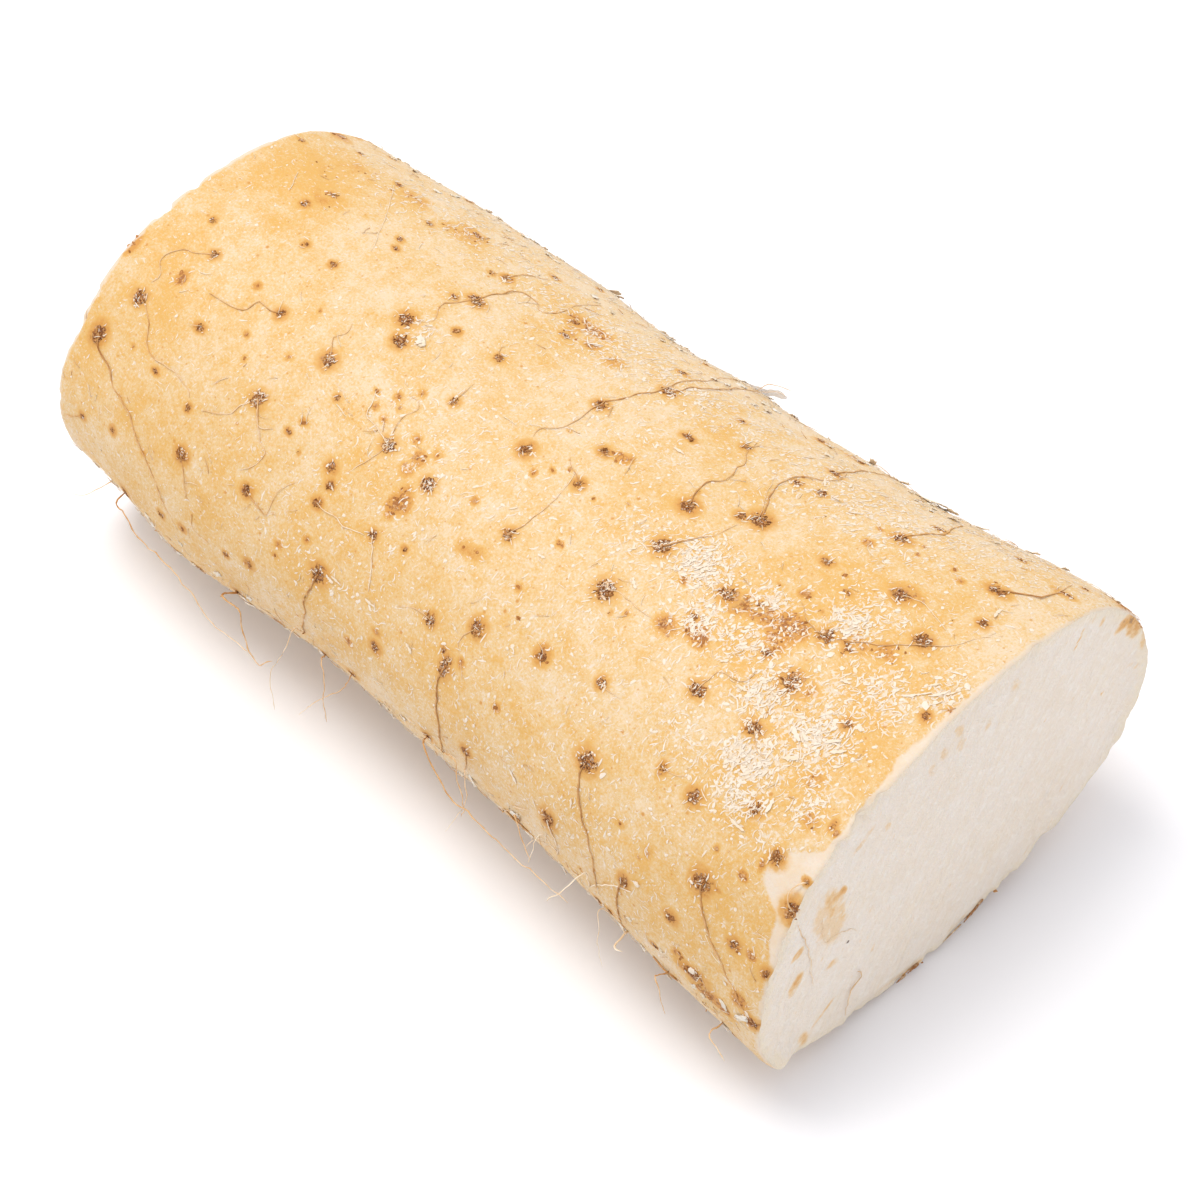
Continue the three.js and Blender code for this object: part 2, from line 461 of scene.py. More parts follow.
# orange-brown stains: along, around, strength, reach along, reach round in millimetres
stains = [
    (9, 117, 1.0, 0.7, 1.1), (18, 107, 0.7, 0.6, 0.6), (9, 140, 0.6, 0.5, 0.5), (28.7, 116, 0.7, 0.6, 0.6),
    (22, 118, 0.6, 0.5, 0.5), (24, 123, 0.6, 0.5, 0.5), (36, 127, 0.6, 0.6, 0.5), (41, 160, 0.7, 0.6, 0.6),
    (41, 164, 0.6, 0.6, 0.5), (44.7, 153, 0.7, 0.6, 0.6), (17, 165, 0.5, 0.5, 0.5),
    (52.6, 131, 0.9, 0.8, 1.2), (53, 127, 0.9, 1.0, 1.2), (54, 129, 0.8, 0.8, 0.9),
    (51.5, 117, 0.9, 0.9, 0.8), (53, 114, 0.6, 0.8, 0.7), (49.4, 113.5, 0.7, 0.6, 0.6),
    (51, 121, 0.6, 1.0, 0.8), (45.2, 104, 0.6, 0.6, 0.6), (43.4, 108, 0.6, 0.6, 0.6),
    (44.5, 110, 0.6, 0.5, 0.6), (44, 114.5, 0.6, 0.6, 0.5), (40.7, 110, 0.6, 0.6, 0.5),
    (42, 113, 0.6, 0.5, 0.5), (54.5, 175, 0.7, 0.7, 0.7), (58.7, 164, 0.7, 0.7, 0.6),
    (64, 128, 0.5, 1.2, 1.0), (66, 127, 0.4, 1.2, 1.0), (61, 117.5, 0.9, 0.5, 0.5),
    (64.1, 104, 0.9, 0.45, 0.45), (65.6, 101, 0.7, 0.4, 0.4), (67.1, 98.5, 0.8, 0.3, 0.3),
    (73.9, 113.7, 1.0, 0.5, 0.35), (73.4, 127.3, 0.8, 0.4, 0.5), (75.9, 133.3, 0.8, 0.25, 0.25),
    (70.2, 89.6, 0.8, 1.2, 0.7), (71.4, 88.6, 0.6, 0.6, 0.4), (72.5, 101, 0.6, 0.3, 0.3),
    (76.2, 97.3, 0.5, 0.5, 0.3), (86.6, 117.5, 0.8, 0.4, 0.4), (91.4, 114.6, 0.75, 1.3, 1.3),
    (94.4, 110.9, 0.65, 1.2, 1.3), (95.8, 112.5, 0.7, 1.2, 1.1), (88.9, 104, 0.7, 0.5, 0.5),
    (97.5, 100.3, 0.8, 2.2, 1.3), (95.6, 101.8, 0.6, 1.6, 1.2), (99.2, 100.2, 0.55, 1.4, 1.0),
    (102.6, 101.2, 0.75, 1.7, 1.9), (101.4, 98.2, 0.6, 1.5, 1.2), (104, 98.5, 0.7, 1.4, 1.2),
    (103.3, 105.2, 0.9, 1.1, 0.9), (101.1, 91.5, 1.0, 1.0, 0.7), (102.3, 83.6, 0.7, 0.4, 0.3),
    (99.6, 67.4, 0.8, 0.5, 0.3), (100.5, 73, 0.8, 0.8, 0.6), (105.7, 69, 0.8, 0.4, 0.3),
    (105.2, 65.7, 0.6, 0.6, 0.4), (110.4, 67.6, 0.7, 0.4, 0.3), (112.3, 69.8, 0.6, 0.6, 0.5),
    (109.6, 80, 0.7, 2.2, 1.1), (79, 156.8, 1.0, 0.5, 0.5), (72, 153, 0.7, 0.6, 0.7),
    (81.9, 137, 0.6, 0.8, 0.9), (117.3, 152, 1.1, 0.55, 0.55), (118.7, 146.4, 0.9, 0.4, 0.9),
    (121.9, 171.5, 1.5, 0.5, 0.55), (100.6, 161, 0.5, 0.8, 0.5), (104.5, 166, 0.6, 0.3, 0.4),
    (105.5, 163, 0.4, 0.8, 1.0), (102.3, 143, 0.5, 0.5, 0.9), (121.8, 187, 0.8, 1.2, 1.2),
    (116.8, 193, 1.4, 1.8, 0.9), (119.2, 195, 1.2, 1.8, 0.5), (112.6, 188, 0.8, 1.0, 1.0),
    (119.4, 171.7, 0.6, 1.3, 1.3), (109, 108.4, 0.8, 1.8, 1.3), (110, 94.5, 0.5, 2.4, 1.2),
    (114, 92, 0.4, 2.2, 1.4), (124.3, 173.3, 0.8, 0.9, 0.9), (113, 150, 0.7, 0.4, 0.6),
    (28.3, 56, 0.7, 1.8, 0.8), (48.5, 60, 0.9, 1.9, 1.3), (51.5, 58.5, 0.8, 1.4, 1.0),
    (52.5, 64.5, 0.6, 1.2, 0.9), (49.6, 66.5, 0.5, 1.4, 0.8), (57, 66, 0.3, 1.8, 1.4),
    (41, 87, 0.8, 0.6, 0.6), (2, 50, 0.8, 1.6, 1.2), (8, 70, 0.16, 3.4, 3.0), (13, 79, 0.4, 2.4, 1.6),
    (10, 62, 0.22, 2.4, 2.0), (18, 60, 0.3, 3.2, 2.0), (27, 60, 0.4, 3.0, 1.6), (86.9, 65, 0.9, 0.3, 0.25),
    (123.8, 130.5, 0.8, 0.5, 0.5), (120.5, 132, 0.4, 1.6, 1.2), (118, 124, 0.4, 1.6, 1.2),
    (124.2, 95, 0.6, 0.6, 0.5), (121, 55, 0.6, 1.6, 0.7), (116, 66, 0.5, 1.8, 0.9),
    (124.6, 33, 1.1, 1.3, 2.4), (124.8, 26, 0.9, 0.9, 2.0), (124.6, 262, 0.9, 1.2, 1.6),
    (124.7, 288, 1.1, 1.4, 1.8), (0.4, 38, 0.7, 1.0, 1.6), (0.5, 118, 0.8, 0.7, 1.6),
    (0.6, 226, 0.8, 1.2, 2.6),
]

# where the skin is more golden, or paler below zero: along, around, amount, reach, spread in degrees
goldenAreas = [
    (20, 152, 0.18, 30, 26), (70, 158, 0.16, 40, 20), (118, 170, 0.28, 11, 18), (2, 110, 0.18, 14, 60),
    (9, 74, 0.34, 9, 14), (14, 118, 0.10, 10, 14), (119, 110, 0.28, 7, 40), (100, 99, 0.40, 9, 14),
    (108, 82, 0.20, 9, 9), (97, 75, 0.12, 10, 8), (48, 122, 0.16, 8, 12), (46, 62, 0.20, 9, 8),
    (72, 88, 0.10, 9, 9), (61, 87, -0.16, 7, 10), (122.5, 70, -0.34, 7, 14), (110, 168, 0.16, 14, 10),
    (8, 78, 0.14, 8, 16), (60, 40, -0.22, 60, 22), (35, 104, -0.12, 14, 12), (66, 112, -0.12, 14, 12),
    (88, 130, -0.06, 12, 14), (110, 200, -0.15, 20, 10), (40, 230, 0.15, 40, 30), (90, 300, 0.12, 40, 60),
]

# sawdust from the packing: along, around, amount, reach along in millimetres, spread in degrees
dustDrifts = [
    (89, 99, 0.85, 5, 7), (94, 108, 0.7, 4, 6), (98.5, 97, 0.75, 3, 4), (101, 107, 0.65, 4, 6),
    (108, 92, 0.8, 3.5, 6), (107, 114, 0.75, 4.5, 8), (110.5, 128, 0.85, 4.5, 8), (115, 115, 0.7, 4.5, 11),
    (117, 100, 0.55, 5, 7), (122.5, 93, 0.6, 3, 5), (113, 137, 0.6, 5, 6), (103, 133, 0.32, 7, 8),
    (104, 98, 0.28, 8, 10), (112, 106, 0.45, 5, 8), (119, 128, 0.45, 3, 8), (106, 110, 0.26, 15, 24),
    (82, 102, 0.34, 7, 9), (110, 86, 0.35, 7, 5), (118, 141, 0.35, 4, 5), (96, 62, 0.35, 22, 16),
    (60, 58, 0.35, 26, 14), (25, 55, 0.22, 22, 14), (110, 45, 0.35, 16, 16), (84, 130, 0.14, 20, 24),
    (84, 172, 0.14, 24, 14), (55, 110, 0.16, 20, 20), (70, 84, 0.18, 12, 12), (96, 168, 0.18, 10, 12),
    (60, 25, 0.32, 50, 18), (105, 5, 0.4, 14, 18), (40, 350, 0.25, 18, 22), (80, 330, 0.3, 14, 20),
    (60, 200, 0.2, 48, 10), (64, 285, 0.12, 46, 40), (38, 92, 0.4, 3, 5), (92, 66, 0.4, 3, 5),
]

# the far side and the underside carry the same sort of knots and stains, spread at random
hiddenSide = {
    "knots": 96,
    "tries": 6000,
    "along": (1.5, 123.5),
    "around": (203, 404),    # degrees
    "sizes": (0.5, 0.8, 1.0, 1.2, 1.4, 1.6, 1.9, 2.2, 2.5, 2.8),
    "greys": (0.1, 0.15, 0.3, 0.5, 0.8),
    "stretch": (0.8, 1.5),
    "apart": (3.0, 2.2),     # least distance between knots, and how much more for each millimetre of size
    "stained": 0.4,          # share of the knots with a stain beside them
    "dots": 46,              # small stains on their own
}


def addHiddenKnots():
    pick = random.Random(11)
    taken = [(a, t) for a, t, *_ in knots]
    added = 0
    for _ in range(hiddenSide["tries"]):
        if added == hiddenSide["knots"]:
            break
        along = pick.uniform(*hiddenSide["along"])
        around = pick.uniform(*hiddenSide["around"]) % 360
        size = pick.choice(hiddenSide["sizes"])
        apart = hiddenSide["apart"][0] + size * hiddenSide["apart"][1]
        if any(math.hypot(along - a, turnBetween(around, t) * 0.5) < apart for a, t in taken):
            continue
        greyness = pick.choice(hiddenSide["greys"])
        knots.append((along, around, size, greyness, pick.uniform(*hiddenSide["stretch"])))
        taken.append((along, around))
        added += 1
        if pick.random() < hiddenSide["stained"]:
            stains.append((along + pick.uniform(-2, 2), around + pick.uniform(-3, 3), pick.uniform(0.3, 0.9),
                           pick.uniform(0.4, 2.0), pick.uniform(0.4, 1.6)))
    for _ in range(hiddenSide["dots"]):
        stains.append((pick.uniform(1, 124), pick.uniform(198, 400) % 360, pick.uniform(0.4, 0.9),
                       pick.uniform(0.3, 0.8), pick.uniform(0.3, 0.8)))


addHiddenKnots()


def dustAt(along, around):
    # how thickly the sawdust lies: a trace everywhere, less near the thin end, and the drifts
    amount = 0.025 + 0.06 * np.clip((along - 22) / 30, 0, 1)
    for at, turn, much, reach, wide in dustDrifts:
        amount = np.maximum(amount, much * patch(along, around, at, turn, reach, wide))
    return amount


def aroundRim(around, offset):
    # the same angles as points on a plain circle, to give noise that closes on itself
    angle = np.radians(around)
    return np.stack([np.cos(angle) * 30, np.sin(angle) * 30, np.full_like(around, offset)], -1)


def fleshWidth(around, thick):
    # how wide a strip beside each cut has lost its skin: wide only on the bevel low on the thick cut's left
    ring = aroundRim(around, 7.0)
    ragged = 0.5 + 0.35 * softNoise(ring, 5.0, 41) + 0.3 * softNoise(ring, 1.6, 42)
    if not thick:
        return 0.25 + 0.6 * ragged
    strip = 0.15 + 0.35 * ragged + (0.3 + 1.0 * ragged) * ridge(around, 114, 22)
    bevel = 4.9 * np.exp(-(turnBetween(around, 145.5) / 8) ** 4) + 1.5 * ridge(around, 160, 9)
    return strip + bevel


def bareAt(along, around, soft=0.9):
    # 1 where the skin is gone, 0 where it is whole
    thickBare = (fleshWidth(around, True) - (tuber["length"] - along)) / soft
    thinBare = (fleshWidth(around, False) - along) / soft
    return np.clip(np.maximum(thickBare, thinBare) + 0.5, 0, 1)


# where the thick cut's rim stands out or back: around, millimetres, spread in degrees
rimSteps = [
    (214.5, 1.25, 4.5), (250, -0.3, 26), (302, -0.4, 5), (336, 0.45, 4), (318, -0.1, 6), (2, 0.75, 22),
    (46, -0.35, 9),
]


def rimStand(around):
    ring = aroundRim(around, 3.0)
    stand = 0.10 * softNoise(ring, 2.6, 43) + 0.07 * softNoise(ring, 1.1, 44)
    stand = stand * (1 + 1.3 * ridge(around, 262, 50))
    for turn, step, wide in rimSteps:
        stand = stand + step * ridge(around, turn, wide)
    return stand


# the tuber: skin sleeve and its two cut faces

knotShape = {
    "wobble": ((0.9, 0.22, 5), (0.45, 0.12, 6)),   # size, amount and seed of the ragged outline
    "halo": 1.25,            # reach of the brown round a knot, in knot radii
    "haloStrength": (1.25, -0.55),   # on a brown knot, and how much that changes on a grey one
    "swelling": 0.07,        # how far the skin swells round a knot, for each millimetre of size
    "dimple": (0.06, 0.5),   # depth and width of the hollow in its middle
}


def rowsNear(alongs, along, reach):
    rows = np.where(np.abs(alongs - along) < reach)[0]
    return slice(rows[0], rows[-1] + 1) if len(rows) else slice(0, 0)


def markKnots(spot, alongs):
    # how near each point of the skin is to a knot, and how far the knots lift it
    scar = np.full(spot.shape[:2], -1.0)
    grey, halo, lift = np.zeros((3, *spot.shape[:2]))
    wobble = sum(softNoise(spot, size, seed) * amount for size, amount, seed in knotShape["wobble"])
    brown, greyed = knotShape["haloStrength"]
    dimple, dimpleWidth = knotShape["dimple"]
    knotAlongs, knotArounds = columnsOf(knots)[:2]
    middles, longs, rounds, outs = skinFrame(knotAlongs, knotArounds)
    for i, (along, _, size, greyness, stretch) in enumerate(knots):
        near = rowsNear(alongs, along, size * 3.0 + 1.0)
        gap = spot[near] - middles[i]
        u = (gap @ longs[i]) / (size / 2 * math.sqrt(stretch))
        v = (gap @ rounds[i]) / (size / 2 / math.sqrt(stretch))
        w = (gap @ outs[i]) / size
        d = np.sqrt(u * u + v * v + w * w)
        nearness = 1 - d + wobble[near]
        closer = nearness > scar[near]
        scar[near] = np.where(closer, nearness, scar[near])
        grey[near] = np.where(closer & (d < 2 * knotShape["halo"]), greyness, grey[near])
        browned = (brown + greyed * greyness) * np.exp(-(d / knotShape["halo"]) ** 2)
        halo[near] = np.maximum(halo[near], browned)
        dip = dimple * np.exp(-(d / dimpleWidth) ** 2)
        lift[near] += size * (knotShape["swelling"] * np.exp(-d * d) - dip)
    return scar, grey, halo, lift


def markStains(spot, alongs):
    stain = np.zeros(spot.shape[:2])
    patchy = 0.75 + 0.5 * softNoise(spot, 1.3, 8)
    for along, around, strength, reach, wide in stains:
        near = rowsNear(alongs, along, reach * 2.6 + 0.6)
        middle, longDir, roundDir, _ = skinFrame([along], [around])
        gap = spot[near] - middle[0]
        d2 = (gap @ longDir[0] / reach) ** 2 + (gap @ roundDir[0] / wide) ** 2
        farSide = np.linalg.norm(gap, axis=-1) > 8
        stain[near] += np.where(farSide, 0, strength * np.exp(-d2) * patchy[near])
    return np.clip(stain * 1.8, 0, 2.6)


def shapeRims(points, spot, a, arounds):
    # the skin's edges at the cuts: steps on the thick one, the thin one drawn out, chips on both
    reach = tuber["rimReach"]
    length = tuber["length"]
    ragged = softNoise(spot, 2.6, 31) + 0.5 * softNoise(spot, 0.9, 32) - 0.15
    chips = np.clip(ragged, 0, 1) * tuber["rimChips"] * (0.5 + 0.8 * ridge(arounds[None, :], 125, 35))
    pull = chips * fade(np.minimum(a, length - a), reach["chips"])
    points[..., 0] += rimStand(arounds)[None, :] * fade(length - a, reach["steps"]) ** 2
    points[..., 0] -= tuber["thinCutOut"] * fade(a, reach["thinCut"]) ** 2
    points[..., 0] += np.where(a > length / 2, -pull, pull)


def makeTuber():
    length = tuber["length"]
    rim = np.array(tuber["rimRings"])
    first = tuber["firstRow"]
    alongs = np.concatenate([rim, np.linspace(first, length - first, tuber["rows"]), (length - rim)[::-1]])
    arounds = np.arange(tuber["columns"]) * 360.0 / tuber["columns"]
    a = alongs[:, None]
    t = arounds[None, :]
    spot, _, _, out = skinFrame(a, t)

    scar, grey, halo, lift = markKnots(spot, alongs)
    bare = bareAt(a, t)
    gold = np.full(scar.shape, 0.40)
    for along, around, amount, reach, wide in goldenAreas:
        gold += amount * patch(a, t, along, around, reach, wide)

    for size, height in tuber["lumps"]:
        lift += height * softNoise(spot, size, int(size * 10))
    size, height = tuber["fineLumps"]
    lift += height * softNoise(spot, size, 21) - tuber["bareDepth"] * bare
    lift += tuber["corner"] * patch(a, t, length, 214, 7, 7)
    fine = softNoise(spot * (0.16, 1, 1), 0.75, 71) + 0.6 * softNoise(spot * (0.1, 1, 1), 0.4, 72)
    lift += tuber["wrinkles"] * fine * patch(a, t, 120, 196, 20, 12)
    turnIn = tuber["rimRounding"] * fade(np.minimum(a, length - a), tuber["rimReach"]["rounding"]) ** 2
    points = spot + out * (lift - turnIn)[..., None]
    shapeRims(points, spot, a, arounds)
    resting = spot[..., 2] < tuber["restingBand"]
    points[..., 2] = np.where(resting, spot[..., 2] + np.maximum(lift, 0) * 0.2, points[..., 2])
    points[..., 2] = np.maximum(points[..., 2], 0.0)

    rows, columns = scar.shape
    values = {"scar": scar, "grey": grey, "halo": halo, "stain": markStains(spot, alongs),
              "dust": dustAt(a, t), "bare": bare, "gold": gold}
    faces = ringFaces(rows, columns).tolist()
    skin = makePiece("tuberSkin", points.reshape(-1, 3), faces, materials["tuberSkin"], values)

    def unroll(corners):
        u = ((corners % columns) / columns).reshape(-1, 4)
        u[(u.max(1) > 0.9)[:, None] & (u < 0.1)] += 1.0      # the last column joins on to the first
        v = alongs[corners // columns] / length
        return np.stack([u.ravel(), v], -1) * 0.996 + 0.002

    addBakeMap(skin, unroll)
    return skin, points, alongs


# marks on the cut faces: y, z, kind, strength, reach one way, reach the other, turn in degrees
thickMarks = [
    (-22.1, 32.8, "stain", 0.62, 1.5, 2.3, 20), (-20.1, 28.6, "stain", 0.62, 0.7, 1.9, 10),
    (-22.2, 29.0, "tan", 1.3, 2.6, 5.6, 12), (-20.2, 32.7, "stain", 0.7, 0.5, 1.0, 20),
    (-22.1, 29.8, "stain", 0.6, 0.6, 1.2, 0), (-27.4, 27.3, "stain", 1.05, 1.15, 0.7, 35),
    (-27.4, 21.2, "stain", 0.85, 1.8, 0.9, 62), (-18.6, 20.7, "dark", 1.2, 0.28, 0.28, 0),
    (-21.0, 18.8, "stain", 0.3, 1.2, 0.9, 0), (-25.2, 7.4, "stain", 0.5, 0.9, 1.6, 20),
    (-21.8, 9.4, "stain", 0.4, 2.2, 0.4, 32), (-1.8, 44.6, "tan", 1.04, 1.5, 0.7, 120),
    (-4.4, 42.8, "tan", 0.85, 1.5, 0.8, 120), (3.9, 41.6, "tan", 0.76, 1.5, 0.6, 60),
    (-0.8, 41.2, "tan", 0.76, 1.8, 0.9, 120), (-6.0, 41.4, "tan", 0.76, 1.4, 0.7, 120),
    (-13.1, 37.7, "tan", 0.95, 0.9, 0.5, 120), (-17.2, 39.2, "tan", 0.95, 2.0, 0.6, 35),
    (7.8, 44.4, "tan", 0.85, 1.6, 0.8, 120), (30.1, 36.4, "stain", 1.1, 1.4, 2.6, 10),
    (28.2, 38.2, "stain", 0.8, 2.0, 1.2, 30), (32.0, 31.9, "stain", 0.5, 0.5, 2.0, 0),
    (23.5, 42.0, "stain", 0.4, 0.7, 0.5, 60), (19.2, 42.2, "stain", 0.5, 1.9, 0.2, 62),
    (26.0, 26.6, "stain", 0.6, 0.45, 0.3, 60), (6.6, 1.0, "stain", 0.9, 1.8, 0.6, 20),
    (-5.8, 1.0, "stain", 0.9, 2.0, 0.45, 12), (13.8, 1.8, "tan", 0.8, 2.6, 0.6, 12),
    (18.8, 3.2, "tan", 0.8, 2.2, 0.6, 24), (23.8, 5.8, "tan", 0.8, 2.2, 0.6, 40),
    (30.6, 12.8, "tan", 0.7, 0.6, 2.2, -22), (-14.8, 23.4, "stain", 0.3, 0.7, 0.2, 60),
    (9.8, 20.4, "stain", 0.2, 0.6, 0.25, 62), (-13.7, 14.4, "stain", 0.35, 1.2, 0.25, 70),
    (14.8, 31.4, "stain", 0.25, 0.4, 0.25, 60), (-7.7, 28.9, "stain", 0.25, 0.7, 0.2, 64),
    # the last two tan bands, low along the foot of the cut, are painted shade where the face meets the floor
    (-8.0, 2.4, "tan", 0.42, 6.0, 0.8, -8), (3.5, 3.0, "tan", 0.42, 5.0, 0.8, 10),
]
thinMarks = [
    (18.0, 33.5, "tan", 0.6, 2.6, 1.6, -30), (22.5, 30.0, "stain", 0.5, 1.0, 0.7, -30),
    (-14.0, 8.5, "tan", 0.5, 2.2, 1.6, 20), (6.0, 26.0, "dark", 0.8, 0.25, 0.25, 0),
    (-9.0, 35.0, "stain", 0.5, 1.3, 0.3, -58), (-22.0, 24.0, "stain", 0.4, 0.8, 0.5, -50),
    (11.0, 12.0, "stain", 0.4, 1.4, 0.3, -58), (0.0, 45.2, "stain", 0.9, 1.8, 0.7, 0),
    (-27.5, 30.0, "stain", 0.8, 0.7, 1.8, 0), (26.5, 14.0, "stain", 0.7, 0.8, 2.0, 0),
    (-2.5, 18.0, "tan", 0.3, 1.6, 1.0, -60), (14.5, 40.0, "tan", 0.6, 1.8, 0.6, -30),
    (-18.0, 4.5, "stain", 0.8, 2.4, 0.6, -20), (-6.0, 12.0, "stain", 0.3, 0.5, 0.3, -60),
]

cutShape = {
    "outerRings": (0.0, 0.010, 0.022, 0.036),    # as shares of the way in to the middle
    "innerRings": (0.05, 0.985),
    "settle": 0.11,          # how far in the wavy rim has settled to the flat of the cut
    "setBack": 0.08,         # millimetres
    "waves": ((11.0, 0.12, 51), (4.0, 0.07, 52), (1.3, 0.03, 53)),   # size, height and seed
}


def makeCutFace(name, rim, outward, marks, ringCount):
    # rings of points from the rim to the middle of the cut
    depths = np.concatenate([cutShape["outerRings"], np.linspace(*cutShape["innerRings"], ringCount)])
    centre = rim.mean(0)
    cutPlane = outward * tuber["length"] / 2
    if outward < 0:
        cutPlane -= tuber["thinCutOut"]
    layers = []
    for depth in depths:
        ring = centre + (rim - centre) * (1 - depth)
        settle = min(1.0, depth / cutShape["settle"])
        settle = settle * settle * (3 - 2 * settle)
        spots = ring * (0, 1, 1)
        waves = sum(height * softNoise(spots, size, seed) for size, height, seed in cutShape["waves"])
        flat = cutPlane - outward * (cutShape["setBack"] - waves)
        ring[:, 0] = rim[:, 0] * (1 - settle) + flat * settle
        layers.append(ring)
    points = np.concatenate(layers + [layers[-1].mean(0, keepdims=True)])

    columns = len(rim)
    hub = len(points) - 1
    last = hub - columns
    middle = np.array([(last + j, last + (j + 1) % columns, hub) for j in range(columns)])
    faces = [part[:, ::outward].tolist() for part in (ringFaces(len(depths), columns), middle)]

    fields = {kind: np.zeros(len(points)) for kind in ("stain", "tan", "dark")}
    ragged = 0.85 + 0.5 * softNoise(points, 1.2, 61) + 0.3 * softNoise(points, 0.6, 62)
    for y, z, kind, strength, reach, wide, turn in marks:
        c = math.cos(math.radians(turn))
        s = math.sin(math.radians(turn))
        u = ((points[:, 1] - y) * c + (points[:, 2] - z) * s) / reach
        v = (-(points[:, 1] - y) * s + (points[:, 2] - z) * c) / wide
        fields[kind] += strength * np.exp(-(u * u + v * v) ** 2) * ragged
    fromRim = [np.linalg.norm(layer - rim, axis=1) for layer in layers]
    fields["fromRim"] = np.clip(np.concatenate(fromRim + [[20.0]]), 0, 20)

    face = makePiece(name, points, faces[0] + faces[1], materials["cutFlesh"], fields)
    low = points[:, 1:].min(0)
    size = (points[:, 1:].max(0) - low).max()
    addBakeMap(face, lambda corners: (points[corners][:, 1:] - low) / size * 0.98 + 0.01)
    return face


# materials

skinLook = {
    "cream": (0.677, 0.522, 0.345), "straw": (0.65, 0.45, 0.222), "gold": (0.63, 0.36, 0.098),
    "orange": (0.55, 0.255, 0.055), "brown": (0.31, 0.115, 0.030), "darkBrown": (0.135, 0.044, 0.013),
    "rust": (0.50, 0.26, 0.10), "fibre": (0.68, 0.575, 0.48), "flesh": (0.68, 0.582, 0.485),
    "dust": (0.69, 0.59, 0.48),
    "roughness": 0.56,
    "shine": 0.3,
    "lightIn": (0.12, (1.0, 0.55, 0.28), 0.0016),    # share, reach of each colour, scale in metres
    "dustGold": 0.48,        # how much more golden the skin is under the sawdust
    "pinpoints": ((0.9, 0.76, 0.8), (2.4, 0.64, 0.95)),      # cell size, how rare, strength
    # colour, where it starts, where it is full, how strong it gets
    "stainSteps": (("gold", 0.05, 0.22, 0.9), ("orange", 0.20, 0.55, 0.95)),
    "haloSteps": (("gold", 0.06, 0.3, 0.8), ("orange", 0.20, 0.60, 0.9)),
    "dashes": (((1, 0.34, 0.34), 0.5), ((0.4, 1, 1), 0.3)),  # stretch and turn of the pale dashes
    "relief": (0.035, 0.14, 0.30),    # millimetres: grit, fine cloud, scabs
}


def addPinpoints(tree, here, base, golden):
    # tiny orange pinpoints, more of them where the skin is golden
    for size, rare, strength in skinLook["pinpoints"]:
        cells = put(tree, "TexVoronoi", {"Vector": here, "Scale": 1 / size, "Randomness": 1.0})
        dot = spread(tree, cells.outputs["Distance"], 0.10 / size ** 0.5, 0.20 / size ** 0.5, 1.0, 0.0)
        pick = put(tree, "SeparateColor", {"Color": cells.outputs["Color"]}).outputs[0]
        some = spread(tree, plus(tree, pick, golden, 0.25), rare + 0.1, rare + 0.2)
        base = tint(tree, times(tree, times(tree, dot, some), strength), base, skinLook["orange"])
    return base


def addPowder(tree, here, base):
    # pale dust left between the larger slivers
    dust = value(tree, "dust")
    powder = plus(tree, grain(tree, here, 0.62, 2.0, 0.5), dust, 0.22)
    base = layOver(tree, base, skinLook["dust"], powder, 0.665, 0.73, 0.65)
    for stretch, turn in skinLook["dashes"]:
        dashes = plus(tree, grain(tree, place(tree, stretch, (0, 0, turn)), 0.34, 1.0, 0.4), dust, 0.22)
        base = layOver(tree, base, skinLook["dust"], dashes, 0.71, 0.77, 0.75)
    return base


